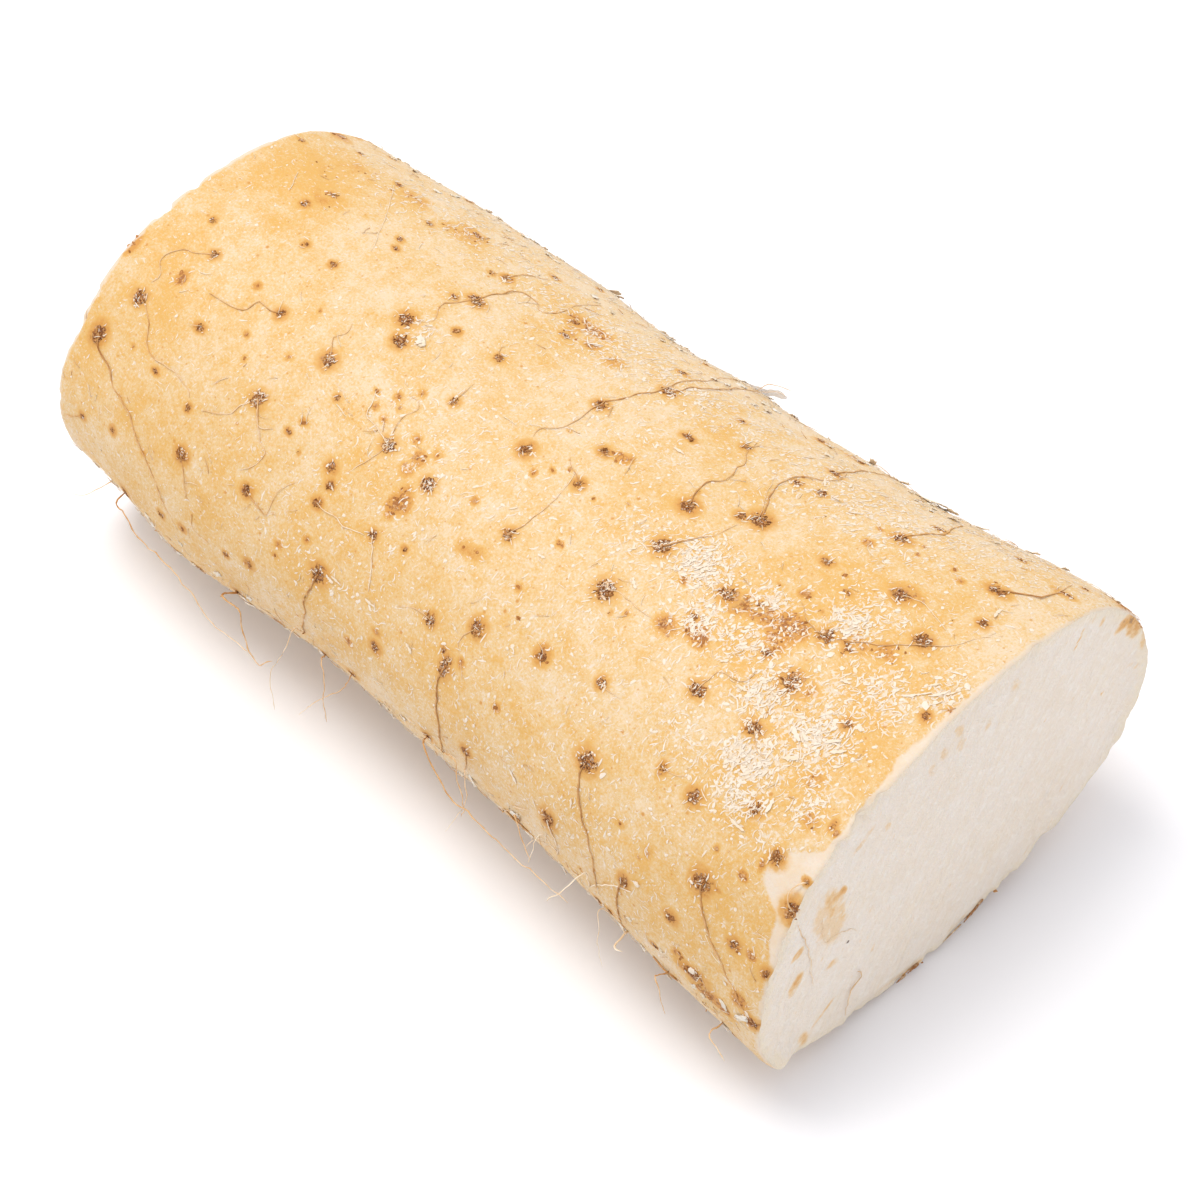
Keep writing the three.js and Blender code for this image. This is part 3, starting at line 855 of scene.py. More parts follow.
def makeTuberSkinMaterial():
    material, tree, shader = newMaterial("tuberSkin")
    look = skinLook
    here = place(tree)
    cloud = grain(tree, here, 7.0, 4.0, 0.62)
    fineCloud = grain(tree, here, 1.9, 4.0, 0.68)
    grit = grain(tree, here, 0.32, 3.0, 0.75)

    # golden patches, broken up by finer and finer grain
    golden = plus(tree, value(tree, "gold"), sway(tree, cloud, -0.32, 0.32))
    golden = plus(tree, golden, sway(tree, fineCloud, -0.26, 0.26))
    golden = plus(tree, golden, sway(tree, grit, -0.46, 0.46))
    golden = plus(tree, golden, value(tree, "dust"), look["dustGold"])
    base = ramp(tree, golden, [(0.05, look["cream"]), (0.45, look["straw"]), (0.95, look["gold"])])
    base = addPinpoints(tree, here, base, golden)

    # stains soak in between the grains
    soak = times(tree, value(tree, "stain"), sway(tree, fineCloud, 0.55, 1.45))
    soak = times(tree, soak, sway(tree, grit, 0.6, 1.4))
    for colour, start, full, most in look["stainSteps"]:
        base = layOver(tree, base, look[colour], soak, start, full, most)
    speckle = times(tree, soak, spread(tree, grain(tree, here, 0.42, 2.0, 0.6), 0.42, 0.62, 0.25, 1.4))
    base = layOver(tree, base, look["brown"], speckle, 0.60, 1.10, 0.9)
    base = addPowder(tree, here, base)

    # bare flesh beside the cuts
    bare = spread(tree, plus(tree, value(tree, "bare"), sway(tree, fineCloud, -0.35, 0.35)), *noiseRange)
    flesh = layOver(tree, look["flesh"], look["cream"], fineCloud, 0.4, 0.7, 0.6)
    base = tint(tree, times(tree, bare, 0.85), base, flesh)

    # knots: an orange-brown halo, then brown crumbs with pale fibres
    crumb = grain(tree, here, 0.30, 2.0, 0.6)
    rag = grain(tree, here, 0.7, 3.0, 0.65)
    halo = times(tree, value(tree, "halo"), sway(tree, rag, 0.6, 1.4))
    for colour, start, full, most in look["haloSteps"]:
        base = layOver(tree, base, look[colour], halo, start, full, most)
    singed = times(tree, halo, spread(tree, grain(tree, here, 0.36, 2.0, 0.6), 0.42, 0.62, 0.3, 1.4))
    base = layOver(tree, base, look["brown"], singed, 0.75, 1.1, 0.85)
    scab = spread(tree, plus(tree, value(tree, "scar"), sway(tree, rag, -0.35, 0.35)), 0.22, 0.50)
    scabColour = ramp(tree, crumb, [(0.36, look["darkBrown"]), (0.52, look["brown"]), (0.70, look["rust"])])
    hairy = plus(tree, grain(tree, here, 0.24, 1.0, 0.5), value(tree, "grey"), 0.15)
    scabColour = layOver(tree, scabColour, look["fibre"], hairy, 0.64, 0.72)
    base = tint(tree, scab, base, scabColour)
    tree.links.new(base, shader.inputs["Base Color"])

    rough = sway(tree, grit, look["roughness"] - 0.08, look["roughness"] + 0.08)
    rough = put(tree, "Math", {0: rough, 1: times(tree, scab, 0.9)}, operation="MAXIMUM").outputs[0]
    tree.links.new(rough, shader.inputs["Roughness"])
    shader.inputs["Specular IOR Level"].default_value = look["shine"]
    letLightIn(shader, *look["lightIn"])
    relief(tree, shader, *zip((grit, fineCloud, times(tree, scab, crumb)), look["relief"]))
    return material


fleshLook = {
    "pale": (0.765, 0.682, 0.597), "warm": (0.745, 0.635, 0.515), "rim": (0.77, 0.65, 0.485),
    "white": (0.81, 0.745, 0.665), "tan": (0.74, 0.505, 0.26), "orange": (0.64, 0.315, 0.075),
    "dark": (0.12, 0.05, 0.024),
    "sliceTurn": 64,         # degrees the knife's lines slant
    "sliceGap": 0.55,        # millimetres between them
    "roughness": 0.5,
    "shine": 0.4,
    "lightIn": (0.2, (1.0, 0.75, 0.5), 0.003),
    # colour, where it starts, where it is full, how strong it gets
    "stainSteps": (("tan", 0.08, 0.30, 0.9), ("orange", 0.30, 0.75, 0.9), ("dark", 1.05, 1.6, 0.8)),
    "relief": (0.12, 0.45, 0.34, 0.12),    # millimetres: slices, wide bands, lumps, cells
}


def makeCutFleshMaterial():
    material, tree, shader = newMaterial("cutFlesh")
    look = fleshLook
    here = place(tree)
    # the knife's fine lines run slantwise over the cut
    turn = (math.radians(-look["sliceTurn"]), 0, 0)
    slices = grain(tree, place(tree, (1, 0.10, 1), turn), look["sliceGap"], 3.0, 0.65)
    wide = grain(tree, place(tree, (1, 0.16, 1), turn), 2.2, 3.0, 0.6)
    cell = grain(tree, here, 0.42, 3.0, 0.65)
    lump = grain(tree, here, 1.1, 3.0, 0.6)
    rag = grain(tree, here, 1.2, 4.0, 0.65)
    tone = plus(tree, times(tree, grain(tree, here, 6.0, 3.0, 0.55), 0.45), slices, 0.55)
    base = ramp(tree, tone, [(0.38, look["pale"]), (0.64, look["warm"])])
    for noise, colour, start, full, most in (
            (wide, "rim", 0.5, 0.75, 0.3), (cell, "rim", 0.55, 0.72, 0.5), (lump, "white", 0.52, 0.70, 0.6)):
        base = layOver(tree, base, look[colour], noise, start, full, most)
    fromRim = plus(tree, value(tree, "fromRim"), sway(tree, rag, -1.0, 1.0))
    base = tint(tree, spread(tree, fromRim, 0.2, 1.9, 0.8, 0.0), base, look["rim"])
    flecks = grain(tree, place(tree, (1, 0.3, 1), turn), 0.8, 2.0, 0.5)
    base = layOver(tree, base, look["tan"], flecks, 0.69, 0.77, 0.6)
    tan = times(tree, value(tree, "tan"), sway(tree, rag, 0.2, 1.5))
    base = layOver(tree, base, look["tan"], tan, 0.15, 0.7, 0.7)
    stain = times(tree, value(tree, "stain"), sway(tree, rag, 0.4, 1.5))
    for colour, start, full, most in look["stainSteps"]:
        base = layOver(tree, base, look[colour], stain, start, full, most)
    base = layOver(tree, base, look["dark"], value(tree, "dark"), 0.35, 0.7)
    tree.links.new(base, shader.inputs["Base Color"])
    rough = sway(tree, slices, look["roughness"] - 0.08, look["roughness"] + 0.1)
    tree.links.new(rough, shader.inputs["Roughness"])
    shader.inputs["Specular IOR Level"].default_value = look["shine"]
    letLightIn(shader, *look["lightIn"])
    relief(tree, shader, *zip((slices, wide, lump, cell), look["relief"]))
    return material


# materials whose colour runs along a ramp by each piece's own tone, from 0 to 1:
# mottle and grain are size in millimetres, detail, coarseness, and then how far they go
toneLooks = {
    "rootScab": {
        "colours": [(0.0, (0.125, 0.040, 0.012)), (0.4, (0.42, 0.175, 0.050)),
                    (0.7, (0.64, 0.42, 0.23)), (1.0, (0.74, 0.62, 0.51))],
        "mottle": (0.3, 3.0, 0.6, 0.15), "roughness": (0.82, 0.95), "shine": 0.1,
        "grain": (0.15, 2.0, 0.6, 0.05)},
    "rootletFibre": {
        "colours": [(0.0, (0.33, 0.135, 0.040)), (0.35, (0.58, 0.32, 0.125)),
                    (0.65, (0.72, 0.50, 0.29)), (1.0, (0.82, 0.70, 0.54))],
        "mottle": (0.8, 3.0, 0.6, 0.14), "roughness": (0.75, 0.6), "shine": 0.15,
        "grain": (0.12, 2.0, 0.5, 0.03)},
    "sawdust": {
        "colours": [(0.0, (0.73, 0.63, 0.52)), (0.6, (0.715, 0.575, 0.415)), (1.0, (0.64, 0.44, 0.24))],
        "mottle": (0.5, 2.0, 0.5, 0.2), "roughness": (0.7, 0.8), "shine": 0.5,
        "grain": (0.14, 2.0, 0.6, 0.02)},
    "skinFlake": {
        "colours": [(0.0, (0.86, 0.81, 0.74)), (0.5, (0.79, 0.65, 0.46)), (1.0, (0.30, 0.12, 0.035))],
        "mottle": (0.7, 3.0, 0.6, 0.25), "roughness": (0.45, 0.7), "shine": 0.2,
        "grain": (0.3, 2.0, 0.6, 0.04), "lightIn": (0.15, (1.0, 0.8, 0.6), 0.001)},
}


def makeToneMaterial(name):
    look = toneLooks[name]
    material, tree, shader = newMaterial(name)
    here = place(tree)
    *mottle, amount = look["mottle"]
    *fine, depth = look["grain"]
    tone = plus(tree, value(tree, "tone"), sway(tree, grain(tree, here, *mottle), -amount, amount))
    tree.links.new(ramp(tree, tone, look["colours"]), shader.inputs["Base Color"])
    tree.links.new(spread(tree, tone, 0.0, 1.0, *look["roughness"]), shader.inputs["Roughness"])
    shader.inputs["Specular IOR Level"].default_value = look["shine"]
    if "lightIn" in look:
        letLightIn(shader, *look["lightIn"])
    relief(tree, shader, (grain(tree, here, *fine), depth))
    return material


clearLook = {
    "colours": [(0.4, (0.86, 0.84, 0.82)), (0.7, (0.80, 0.70, 0.57))],
    "solid": 0.5,            # 1 hides what lies behind a flake
    "roughness": 0.5,
}


def makeClearFlakeMaterial():
    # papery skin so thin that light comes through
    material, tree, shader = newMaterial("clearFlake")
    here = place(tree)
    tone = grain(tree, here, 0.8, 3.0, 0.6)
    tree.links.new(ramp(tree, tone, clearLook["colours"]), shader.inputs["Base Color"])
    shader.inputs["Alpha"].default_value = clearLook["solid"]
    shader.inputs["Roughness"].default_value = clearLook["roughness"]
    relief(tree, shader, (grain(tree, here, 0.5, 2.0, 0.6), 0.05))
    return material


materials = {name: makeToneMaterial(name) for name in toneLooks}
materials["clearFlake"] = makeClearFlakeMaterial()
materials["tuberSkin"] = makeTuberSkinMaterial()
materials["cutFlesh"] = makeCutFleshMaterial()
print("materials ready")

skinPiece, skinPoints, skinRows = makeTuber()
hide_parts("yam_tuber")
makeCutFace("thickCutFace", skinPoints[-1], 1, thickMarks, 92)
makeCutFace("thinCutFace", skinPoints[0], -1, thinMarks, 56)


def onSkin(along, around):
    # the lumpy skin itself, between its mesh points
    along = np.clip(along, 0.0, tuber["length"])
    columns = skinPoints.shape[1]
    row = np.clip(np.searchsorted(skinRows, along, side="right") - 1, 0, len(skinRows) - 2)
    turn = (np.asarray(around) % 360.0) / 360.0 * columns
    column = np.floor(turn).astype(int)
    u = ((along - skinRows[row]) / (skinRows[row + 1] - skinRows[row]))[..., None]
    v = (turn - column)[..., None]
    here = column % columns
    there = (column + 1) % columns
    near = skinPoints[row, here] * (1 - v) + skinPoints[row, there] * v
    far = skinPoints[row + 1, here] * (1 - v) + skinPoints[row + 1, there] * v
    return near * (1 - u) + far * u


def layFrame(along, around):
    # like skinFrame, with the spot on the lumpy skin
    _, lengthways, roundways, out = skinFrame(along, around)
    return onSkin(along, around), lengthways, roundways, out


def headed(out, heading, lengthways, roundways):
    # two directions flat on the skin, the first of them along the heading
    first = lengthways * math.cos(heading) + roundways * math.sin(heading)
    return first, np.cross(out, first)


# many small shapes grow into one piece: its points, its faces and a tone for each point

def newStore():
    return [], [], []


def makeFromStore(name, store, material, smooth=True):
    points, faces, tones = store
    return makePiece(name, points, faces, materials[material], {"tone": tones}, smooth)


# a twenty-sided ball, the start of every crumb
ballPoints = np.array([
    (0, 0, 1), (0.894, 0, 0.447), (0.276, 0.851, 0.447), (-0.724, 0.526, 0.447), (-0.724, -0.526, 0.447),
    (0.276, -0.851, 0.447), (0.724, 0.526, -0.447), (-0.276, 0.851, -0.447), (-0.894, 0, -0.447),
    (-0.276, -0.851, -0.447), (0.724, -0.526, -0.447), (0, 0, -1)])
fives = [(k, (k + 1) % 5) for k in range(5)]
ballFaces = ([(0, 1 + k, 1 + m) for k, m in fives] + [(1 + k, 6 + k, 1 + m) for k, m in fives]
             + [(6 + k, 6 + m, 1 + m) for k, m in fives] + [(6 + k, 11, 6 + m) for k, m in fives])


def addCrumb(store, middle, axes, corners, tone):
    # the corners of a crumb are measured along the three axes
    points, faces, tones = store
    start = len(points)
    points.extend((middle + corners @ np.array(axes)).tolist())
    faces.extend([(a + start, b + start, c + start) for a, b, c in ballFaces])
    tones.extend([tone] * len(ballPoints))


# crumbly scabs on the knots

scabs = {
    "perKnot": 11,           # crumbs on a 1 mm knot, more on bigger ones
    "crumbSize": (0.06, 0.15),
    "spreadOut": 0.42,       # share of the knot's size the crumbs reach from its middle
    "ragged": 0.28,          # how uneven a crumb is
    "stainCrumb": (0.13, 0.27),      # size of the flat crumbs in a stain
    "stainShape": (1.3, 0.8),        # their length and width, for each millimetre of size
    "stainThickness": 0.05,
    "stainRagged": 0.4,
    "roundStep": 1.9,        # degrees round the tuber for each millimetre
}


def addScab(store, pick, shaker, knot, spot, long, roundways, out):
    _, _, size, greyness, stretch = knot
    count = int(scabs["perKnot"] * size ** 1.7 * (0.12 + 1.05 * greyness)) + 2
    for _ in range(count):
        far = math.sqrt(pick.random()) * size * scabs["spreadOut"]
        way = pick.uniform(0, 2 * math.pi)
        longer = math.sqrt(stretch)
        shift = (long * math.cos(way) * longer + roundways * math.sin(way) / longer) * far
        first, second = headed(out, pick.uniform(0, math.pi), long, roundways)
        big = pick.uniform(*scabs["crumbSize"]) * (0.7 + 0.25 * min(size, 3))
        shape = (big * pick.uniform(0.8, 1.9), big * pick.uniform(0.5, 0.9), big * pick.uniform(0.2, 0.4))
        rough = ballPoints * (1 + shaker.uniform(-scabs["ragged"], scabs["ragged"], (12, 1)))
        height = size * 0.03 * (1 - (far / size) ** 2) + shape[2] * pick.uniform(-0.2, 0.6)
        pale = pick.random() < (0.04 + 0.28 * greyness) * (0.3 + 1.5 * far / size)
        tone = pick.uniform(0.75, 1.0) if pale else pick.uniform(0.0, 0.6)
        addCrumb(store, spot + shift + out * height, (first, second, out), rough * shape, tone)


def addStainCrumbs(store, pick, shaker, stain):
    along, around, strength, reach, wide = stain
    dots = 1 + int(pick.random() * 2) + int(2.6 * strength * reach * wide)
    for _ in range(dots):
        way = pick.uniform(0, 2 * math.pi)
        far = math.sqrt(pick.random()) * (0.0 if dots < 3 else 1.0)
        dotAlong = along + math.cos(way) * far * reach
        dotAround = around + math.sin(way) * far * wide * scabs["roundStep"]
        spot, long, roundways, out = (part[0] for part in layFrame(*np.array([[dotAlong], [dotAround]])))
        first, second = headed(out, pick.uniform(0, math.pi), long, roundways)
        big = pick.uniform(*scabs["stainCrumb"]) * (0.6 + 0.7 * strength)
        rough = ballPoints * (1 + shaker.uniform(-scabs["stainRagged"], scabs["stainRagged"], (12, 1)))
        length, width = scabs["stainShape"]
        shape = (big * length, big * width, scabs["stainThickness"])
        addCrumb(store, spot + out * 0.01, (first, second, out), rough * shape, pick.uniform(0.22, 0.58))


def makeScabs():
    pick = random.Random(23)
    shaker = np.random.default_rng(23)
    store = newStore()
    places = zip(*layFrame(*columnsOf(knots)[:2]))
    for knot, (spot, long, roundways, out) in zip(knots, places):
        addScab(store, pick, shaker, knot, spot, long, roundways, out)
    for stain in stains:
        addStainCrumbs(store, pick, shaker, stain)
    for point in store[0]:
        point[2] = max(point[2], 0.02)
    return makeFromStore("rootScabs", store, "rootScab", smooth=False)


makeScabs()

# rootlets

rootletLook = {
    "sides": 5,
    "step": 0.55,            # millimetres between rings
    "kink": 0.08,            # how wiry the rootlets are
    "fullness": 0.64,        # share of the listed thickness
    "uneven": 0.28,          # how much the thickness varies
    "arch": 0.03,            # how far a rootlet's middle stands off the skin
    "mmPerDegree": 0.55,     # round the tuber
    "hairCount": 520,        # short stray hairs all over
    "edgeHairs": 420,        # more of them high on the +Y side and low on the -Y side
    "hairLength": (0.5, 2.3),
    "hairTaper": (1, 1, 0.95, 0.85, 0.7, 0.4),
    "hiddenShare": 0.55,     # of the larger knots on the unseen side, how many grew a rootlet
}


def rootlet(thick, tone, route, free=(), arch=rootletLook["arch"]):
    # thickness and tone (0 dark brown, 1 cream) at the knot and at the tip, then the route over the skin in
    # (along, around), and free points in millimetres where it leaves the skin
    return {"thick": thick, "tone": tone, "route": route, "free": free, "arch": arch}


rootlets = [
    rootlet((0.34, 0.2), (0.15, 0.6), [(3.5, 144), (4.5, 148), (7.2, 150), (9, 154), (11, 155), (13, 157),
        (14.5, 160), (16.5, 164), (18, 167), (20.5, 173), (21.5, 176), (24, 182)]),
    rootlet((0.22, 0.14), (0.35, 0.6), [(6, 128), (7.5, 129), (9.5, 133), (11.5, 138), (14.6, 138),
        (16.7, 137.5), (19.6, 139), (20.6, 140.5)]),
    rootlet((0.2, 0.12), (0.4, 0.7), [(10, 107.5), (8, 110), (6, 112), (5, 115), (5, 117.5), (6.3, 120),
        (6, 123)]),
    rootlet((0.24, 0.16), (0.25, 0.5), [(23.5, 109), (22, 110), (20, 110), (19.5, 113), (18.5, 114.5),
        (17, 115), (13.6, 116)]),
    rootlet((0.2, 0.1), (0.3, 0.6), [(5, 171), (3.4, 174), (1, 178)]),
    rootlet((0.22, 0.14), (0.5, 0.75), [(29, 129), (31.7, 136), (32.7, 138), (34, 139.5), (33.4, 144),
        (32, 148)]),
    rootlet((0.2, 0.14), (0.9, 0.5), [(29, 129), (27.6, 133), (26.6, 137), (23, 141)]),
    rootlet((0.2, 0.12), (0.6, 0.8), [(29, 129), (31, 134.6), (33.2, 133)]),
    rootlet((0.24, 0.14), (0.25, 0.55), [(23, 156), (23.9, 159.5), (25, 165), (25.5, 168)]),
    rootlet((0.2, 0.14), (0.35, 0.6), [(26.7, 172), (27, 177), (29.8, 178)]),
    rootlet((0.24, 0.12), (0.25, 0.7), [(34, 152), (36.8, 154), (38, 154), (38, 147.6), (39, 143),
        (40, 139.7)]),
    rootlet((0.2, 0.1), (0.4, 0.6), [(33, 111), (32.5, 109), (31.3, 106), (32, 103), (31.3, 100.6)]),
    rootlet((0.24, 0.12), (0.25, 0.65), [(38.6, 77), (38.7, 73), (39.5, 69), (40, 65), (42.6, 64), (44, 66),
        (45, 65), (45.6, 62), (45.6, 58), (45.5, 54), (46.5, 47)]),
    rootlet((0.2, 0.12), (0.35, 0.6), [(38.6, 77), (37, 82), (36.5, 84), (37.8, 88.6), (36.6, 91)]),
    rootlet((0.2, 0.12), (0.35, 0.6), [(37.3, 64), (37.7, 59), (39.3, 55), (40, 53)]),
    rootlet((0.22, 0.16), (0.8, 1.0), [(47, 119), (44, 117), (42, 116), (41.5, 113), (40.6, 110)]),
    rootlet((0.2, 0.12), (0.4, 0.6), [(47, 119), (46, 114), (46, 110.5), (46.5, 107.5), (46, 106.4),
        (44.3, 106)]),
    rootlet((0.2, 0.12), (0.5, 0.8), [(47, 119), (46.2, 125), (45, 130.5)]),
    rootlet((0.2, 0.16), (0.7, 0.95), [(43.7, 142), (44.6, 142.5), (46.7, 142), (48.5, 143),
        (51.6, 141.4)]),
    rootlet((0.22, 0.16), (0.8, 0.95), [(52.6, 140), (54.2, 145.6), (55, 149.7), (55.7, 154.5)]),
    rootlet((0.22, 0.12), (0.3, 0.7), [(47.6, 86), (46.8, 84.5), (46.5, 83), (46.7, 82)]),
    rootlet((0.16, 0.1), (0.4, 0.7), [(49, 101), (48.9, 98), (48.7, 95.8), (48.7, 94.5)]),
    rootlet((0.2, 0.12), (0.4, 0.7), [(65.4, 149), (64, 148.8), (63, 149.3), (61, 151), (60.3, 152)]),
    rootlet((0.2, 0.1), (0.35, 0.8), [(72, 142), (70.9, 145), (70.5, 149), (71.3, 151.5), (72.6, 154.5),
        (73, 157)]),
    rootlet((0.34, 0.18), (0.15, 0.6), [(70, 158), (69.6, 163), (69.9, 168), (70.2, 173), (70.8, 178),
        (71, 184), (71, 190)], [(14.6, -35.0, 26.2), (16.0, -35.8, 24.2), (17.0, -36.2, 22.6),
        (17.6, -36.4, 20.4), (17.2, -36.5, 18.8)]),
    rootlet((0.22, 0.14), (0.5, 0.55), [(62, 81), (61.8, 83.7), (62, 86.5), (61.9, 89), (61.2, 92.2),
        (59.8, 94.5), (59.9, 97)]),
    rootlet((0.28, 0.14), (0.3, 0.55), [(62, 81), (61.9, 79.5), (62.9, 76), (63.5, 70.8), (64.2, 69.2),
        (64.6, 64), (64.4, 60), (64.7, 56.3), (65.6, 50.7), (65.5, 44), (66, 38)]),
    rootlet((0.26, 0.14), (0.3, 0.6), [(65.3, 65), (66, 62.6), (66, 58.4), (67, 55.7), (67.9, 51),
        (68.3, 43), (68.6, 36)], [(7.2, 26.2, 38.3), (8.4, 27.4, 37.8), (9.3, 28.2, 37.2)]),
    rootlet((0.16, 0.1), (0.5, 0.8), [(68.4, 40), (68.8, 35)], [(8.0, 26.9, 37.2), (8.9, 27.8, 36.3)]),
    rootlet((0.16, 0.08), (0.3, 0.6), [(69.6, 100), (68.2, 98.6), (66.6, 97.5), (65.6, 96)]),
    rootlet((0.18, 0.1), (0.45, 0.95), [(67.8, 119), (68.4, 116), (68.7, 112.5), (68.9, 109), (69, 106),
        (68.6, 103), (68.4, 100.5), (68, 98), (67.4, 96)]),
    rootlet((0.2, 0.12), (0.4, 0.6), [(78.7, 67), (79.2, 65), (79.4, 63.5), (80.6, 61.5), (81, 60)]),
    rootlet((0.26, 0.14), (0.2, 0.5), [(81.6, 90), (80.6, 86.5), (80.4, 84), (80.7, 82), (81.6, 79.5),
        (81.5, 77), (80.8, 74.5), (81, 72.5), (80.2, 70), (79.4, 67.6)]),
    rootlet((0.24, 0.12), (0.15, 0.75), [(83.6, 100.7), (84.4, 99), (85.2, 96.6), (86, 94), (87, 91.6),
        (87.4, 89), (87.8, 86.6), (88.2, 85)]),
    rootlet((0.30, 0.14), (0.15, 0.6), [(89, 83), (88, 79.5), (86.6, 74.9), (86.1, 72), (86.2, 68.1),
        (86.8, 65), (88, 63.6), (88.7, 62.5), (89.3, 60.5), (89.5, 57.2), (88.9, 53.2)]),
    rootlet((0.14, 0.08), (0.5, 0.9), [(89, 84), (86.4, 76), (85, 71), (83.6, 67)]),
    rootlet((0.26, 0.12), (0.3, 0.55), [(88.4, 56.8), (88.8, 52), (89, 46), (89.8, 40), (90.8, 33)]),
    rootlet((0.18, 0.1), (0.75, 0.6), [(82.5, 116), (83.8, 114.6), (85.2, 114.8), (86, 114.4), (87, 115),
        (88.2, 115.2), (89.6, 115)]),
    rootlet((0.24, 0.24), (0.3, 0.45), [(102.5, 67), (102.7, 65), (103.6, 61.3), (104.3, 59.2),
        (104.9, 57.6), (104.7, 55.7), (104.1, 50.6), (103.8, 45)]),
    rootlet((0.2, 0.12), (0.3, 0.5), [(107, 96.6), (106, 97.1), (104.5, 96.6), (103.2, 95.5), (102.1, 94),
        (101.2, 93.4)]),
    rootlet((0.2, 0.1), (0.35, 0.8), [(109.3, 95.5), (110.6, 93.6), (112.4, 92.4), (114, 90), (115.6, 88.3),
        (117, 86.6), (118.6, 84.2), (119.6, 81), (120.3, 79), (121.6, 76.5)]),
    rootlet((0.2, 0.12), (0.4, 0.6), [(108.3, 121.7), (109.5, 124), (110.5, 125.5), (111.8, 126)]),
    rootlet((0.2, 0.14), (0.5, 0.6), [(100, 122), (100.2, 118.6), (100.4, 116.4), (101.2, 115.7),
        (102.2, 115.8), (103.2, 115.4), (103.8, 114.4), (103.9, 112.7), (103.7, 110.7)]),
    rootlet((0.14, 0.08), (0.5, 0.8), [(89.7, 133.7), (90.6, 134.2), (91.8, 134.2), (93, 134)]),
    rootlet((0.14, 0.08), (0.5, 0.8), [(102.3, 141.4), (103.4, 141.2), (104.6, 140.4), (105.2, 139.4)]),
    rootlet((0.36, 0.2), (0.1, 0.5), [(93.4, 153), (93.1, 155.8), (93.5, 158.4), (94, 161.3), (94.6, 164),
        (95.3, 167), (95.7, 168.9), (96.6, 171), (97, 172.8), (97.4, 176), (98, 177.3), (98.3, 179.5),
        (98.6, 183), (98.9, 188)]),
    rootlet((0.34, 0.26), (0.15, 0.5), [(103.3, 177), (102.7, 180), (102.4, 186), (102.5, 192),
        (102.8, 199)]),
    rootlet((0.26, 0.26), (1.0, 0.95), [(104.6, 178), (101.6, 181), (99.2, 186), (97.4, 191)],
        [(35.6, -34.4, 23.4), (34.0, -36.2, 20.2), (32.2, -37.2, 17.4)]),
    rootlet((0.38, 0.16), (0.2, 0.55), [(113.1, 161), (113.4, 163.5), (114, 166.6), (114.7, 169.5),
        (115.4, 172), (116.1, 174.5), (117.4, 177.5), (118.6, 180), (119.5, 182.5), (120.7, 184),
        (121.8, 187), (123, 189.5)]),
    rootlet((0.36, 0.14), (0.15, 0.5), [(116.2, 67), (117, 65.6), (118.2, 64.4), (119.2, 63), (120.1, 61.8),
        (120.3, 58), (120.2, 54), (119.5, 47)]),
    rootlet((0.30, 0.24), (0.55, 0.75), [(124.8, 152), (123.8, 150), (123.4, 147.6), (123.8, 145),
        (124.6, 143.6)], arch=0.7),
    rootlet((0.24, 0.14), (0.6, 0.95), [(124.8, 153)], [(62.64, -26.4, 28.8), (62.64, -25.6, 26.0),
        (62.64, -25.2, 24.0), (62.64, -24.8, 20.8), (62.64, -24.4, 18.0)]),
    rootlet((0.10, 0.10), (0.95, 0.8), [(124.8, 139)], [(62.64, -23.2, 26.4), (62.64, -21.8, 24.8),
        (62.64, -20.8, 24.8), (62.64, -19.4, 23.8), (62.64, -18.0, 22.8), (62.64, -17.2, 21.4)]),
    rootlet((0.18, 0.26), (0.8, 0.6), [], [(62.64, -18.0, 5.0), (62.64, -17.7, 7.2), (62.64, -17.3, 9.4),
        (62.64, -16.2, 10.2), (62.64, -15.5, 10.6), (62.64, -15.7, 11.6), (62.64, -16.4, 12.4)]),
    rootlet((0.42, 0.2), (0.15, 0.6), [(33, 196)], [(-28.6, -33.9, 18.6), (-23.2, -35.6, 22.0),
        (-22.4, -36.0, 20.2), (-21.4, -36.4, 18.6), (-20.2, -36.8, 17.4), (-18.6, -36.9, 16.2),
        (-17.4, -36.8, 17.6), (-16.2, -36.6, 18.8)]),
    rootlet((0.34, 0.14), (0.15, 1.0), [(48, 160), (47.6, 164), (46.5, 173), (46.8, 177), (46, 183),
        (45.4, 190)], [(-14.6, -34.0, 24.0), (-15.4, -35.0, 20.4), (-16.6, -36.2, 17.0),
        (-17.0, -36.6, 14.6), (-16.6, -36.8, 12.0), (-16.4, -37.0, 9.4)]),
    rootlet((0.28, 0.14), (0.3, 0.65), [(48, 197)], [(-9.6, -34.2, 22.6), (-7.6, -35.4, 21.4),
        (-7.2, -36.2, 19.8), (-6.8, -36.6, 17.6), (-6.3, -36.8, 15.8)]),
    rootlet((0.24, 0.1), (0.3, 0.8), [(54, 191)], [(-4.6, -35.4, 22.4), (-7.0, -36.4, 19.6),
        (-9.0, -37.0, 16.8), (-11.0, -37.2, 13.4)]),
    rootlet((0.30, 0.16), (0.2, 0.8), [(12.5, 189)], [(-49.6, -33.2, 18.6), (-45.6, -34.8, 20.6),
        (-42.8, -35.8, 20.6), (-39.8, -36.2, 20.8), (-36.4, -36.4, 20.6), (-33.0, -36.6, 20.2),
        (-30.2, -36.8, 18.8), (-27.6, -37, 17.2), (-24.0, -37, 17.2), (-20.4, -37, 17.4)]),
    rootlet((0.24, 0.12), (0.6, 0.9), [(9, 192)], [(-55.6, -33.4, 15.6), (-57.8, -34.8, 15.2)]),
    rootlet((0.34, 0.16), (0.2, 0.7), [(68.3, 188)], [(8.4, -34.2, 22.6), (10.6, -35.2, 22.2),
        (13.2, -36.0, 21.6), (15.2, -36.4, 20.4), (18.4, -36.6, 21.0), (21.8, -36.8, 20.6),
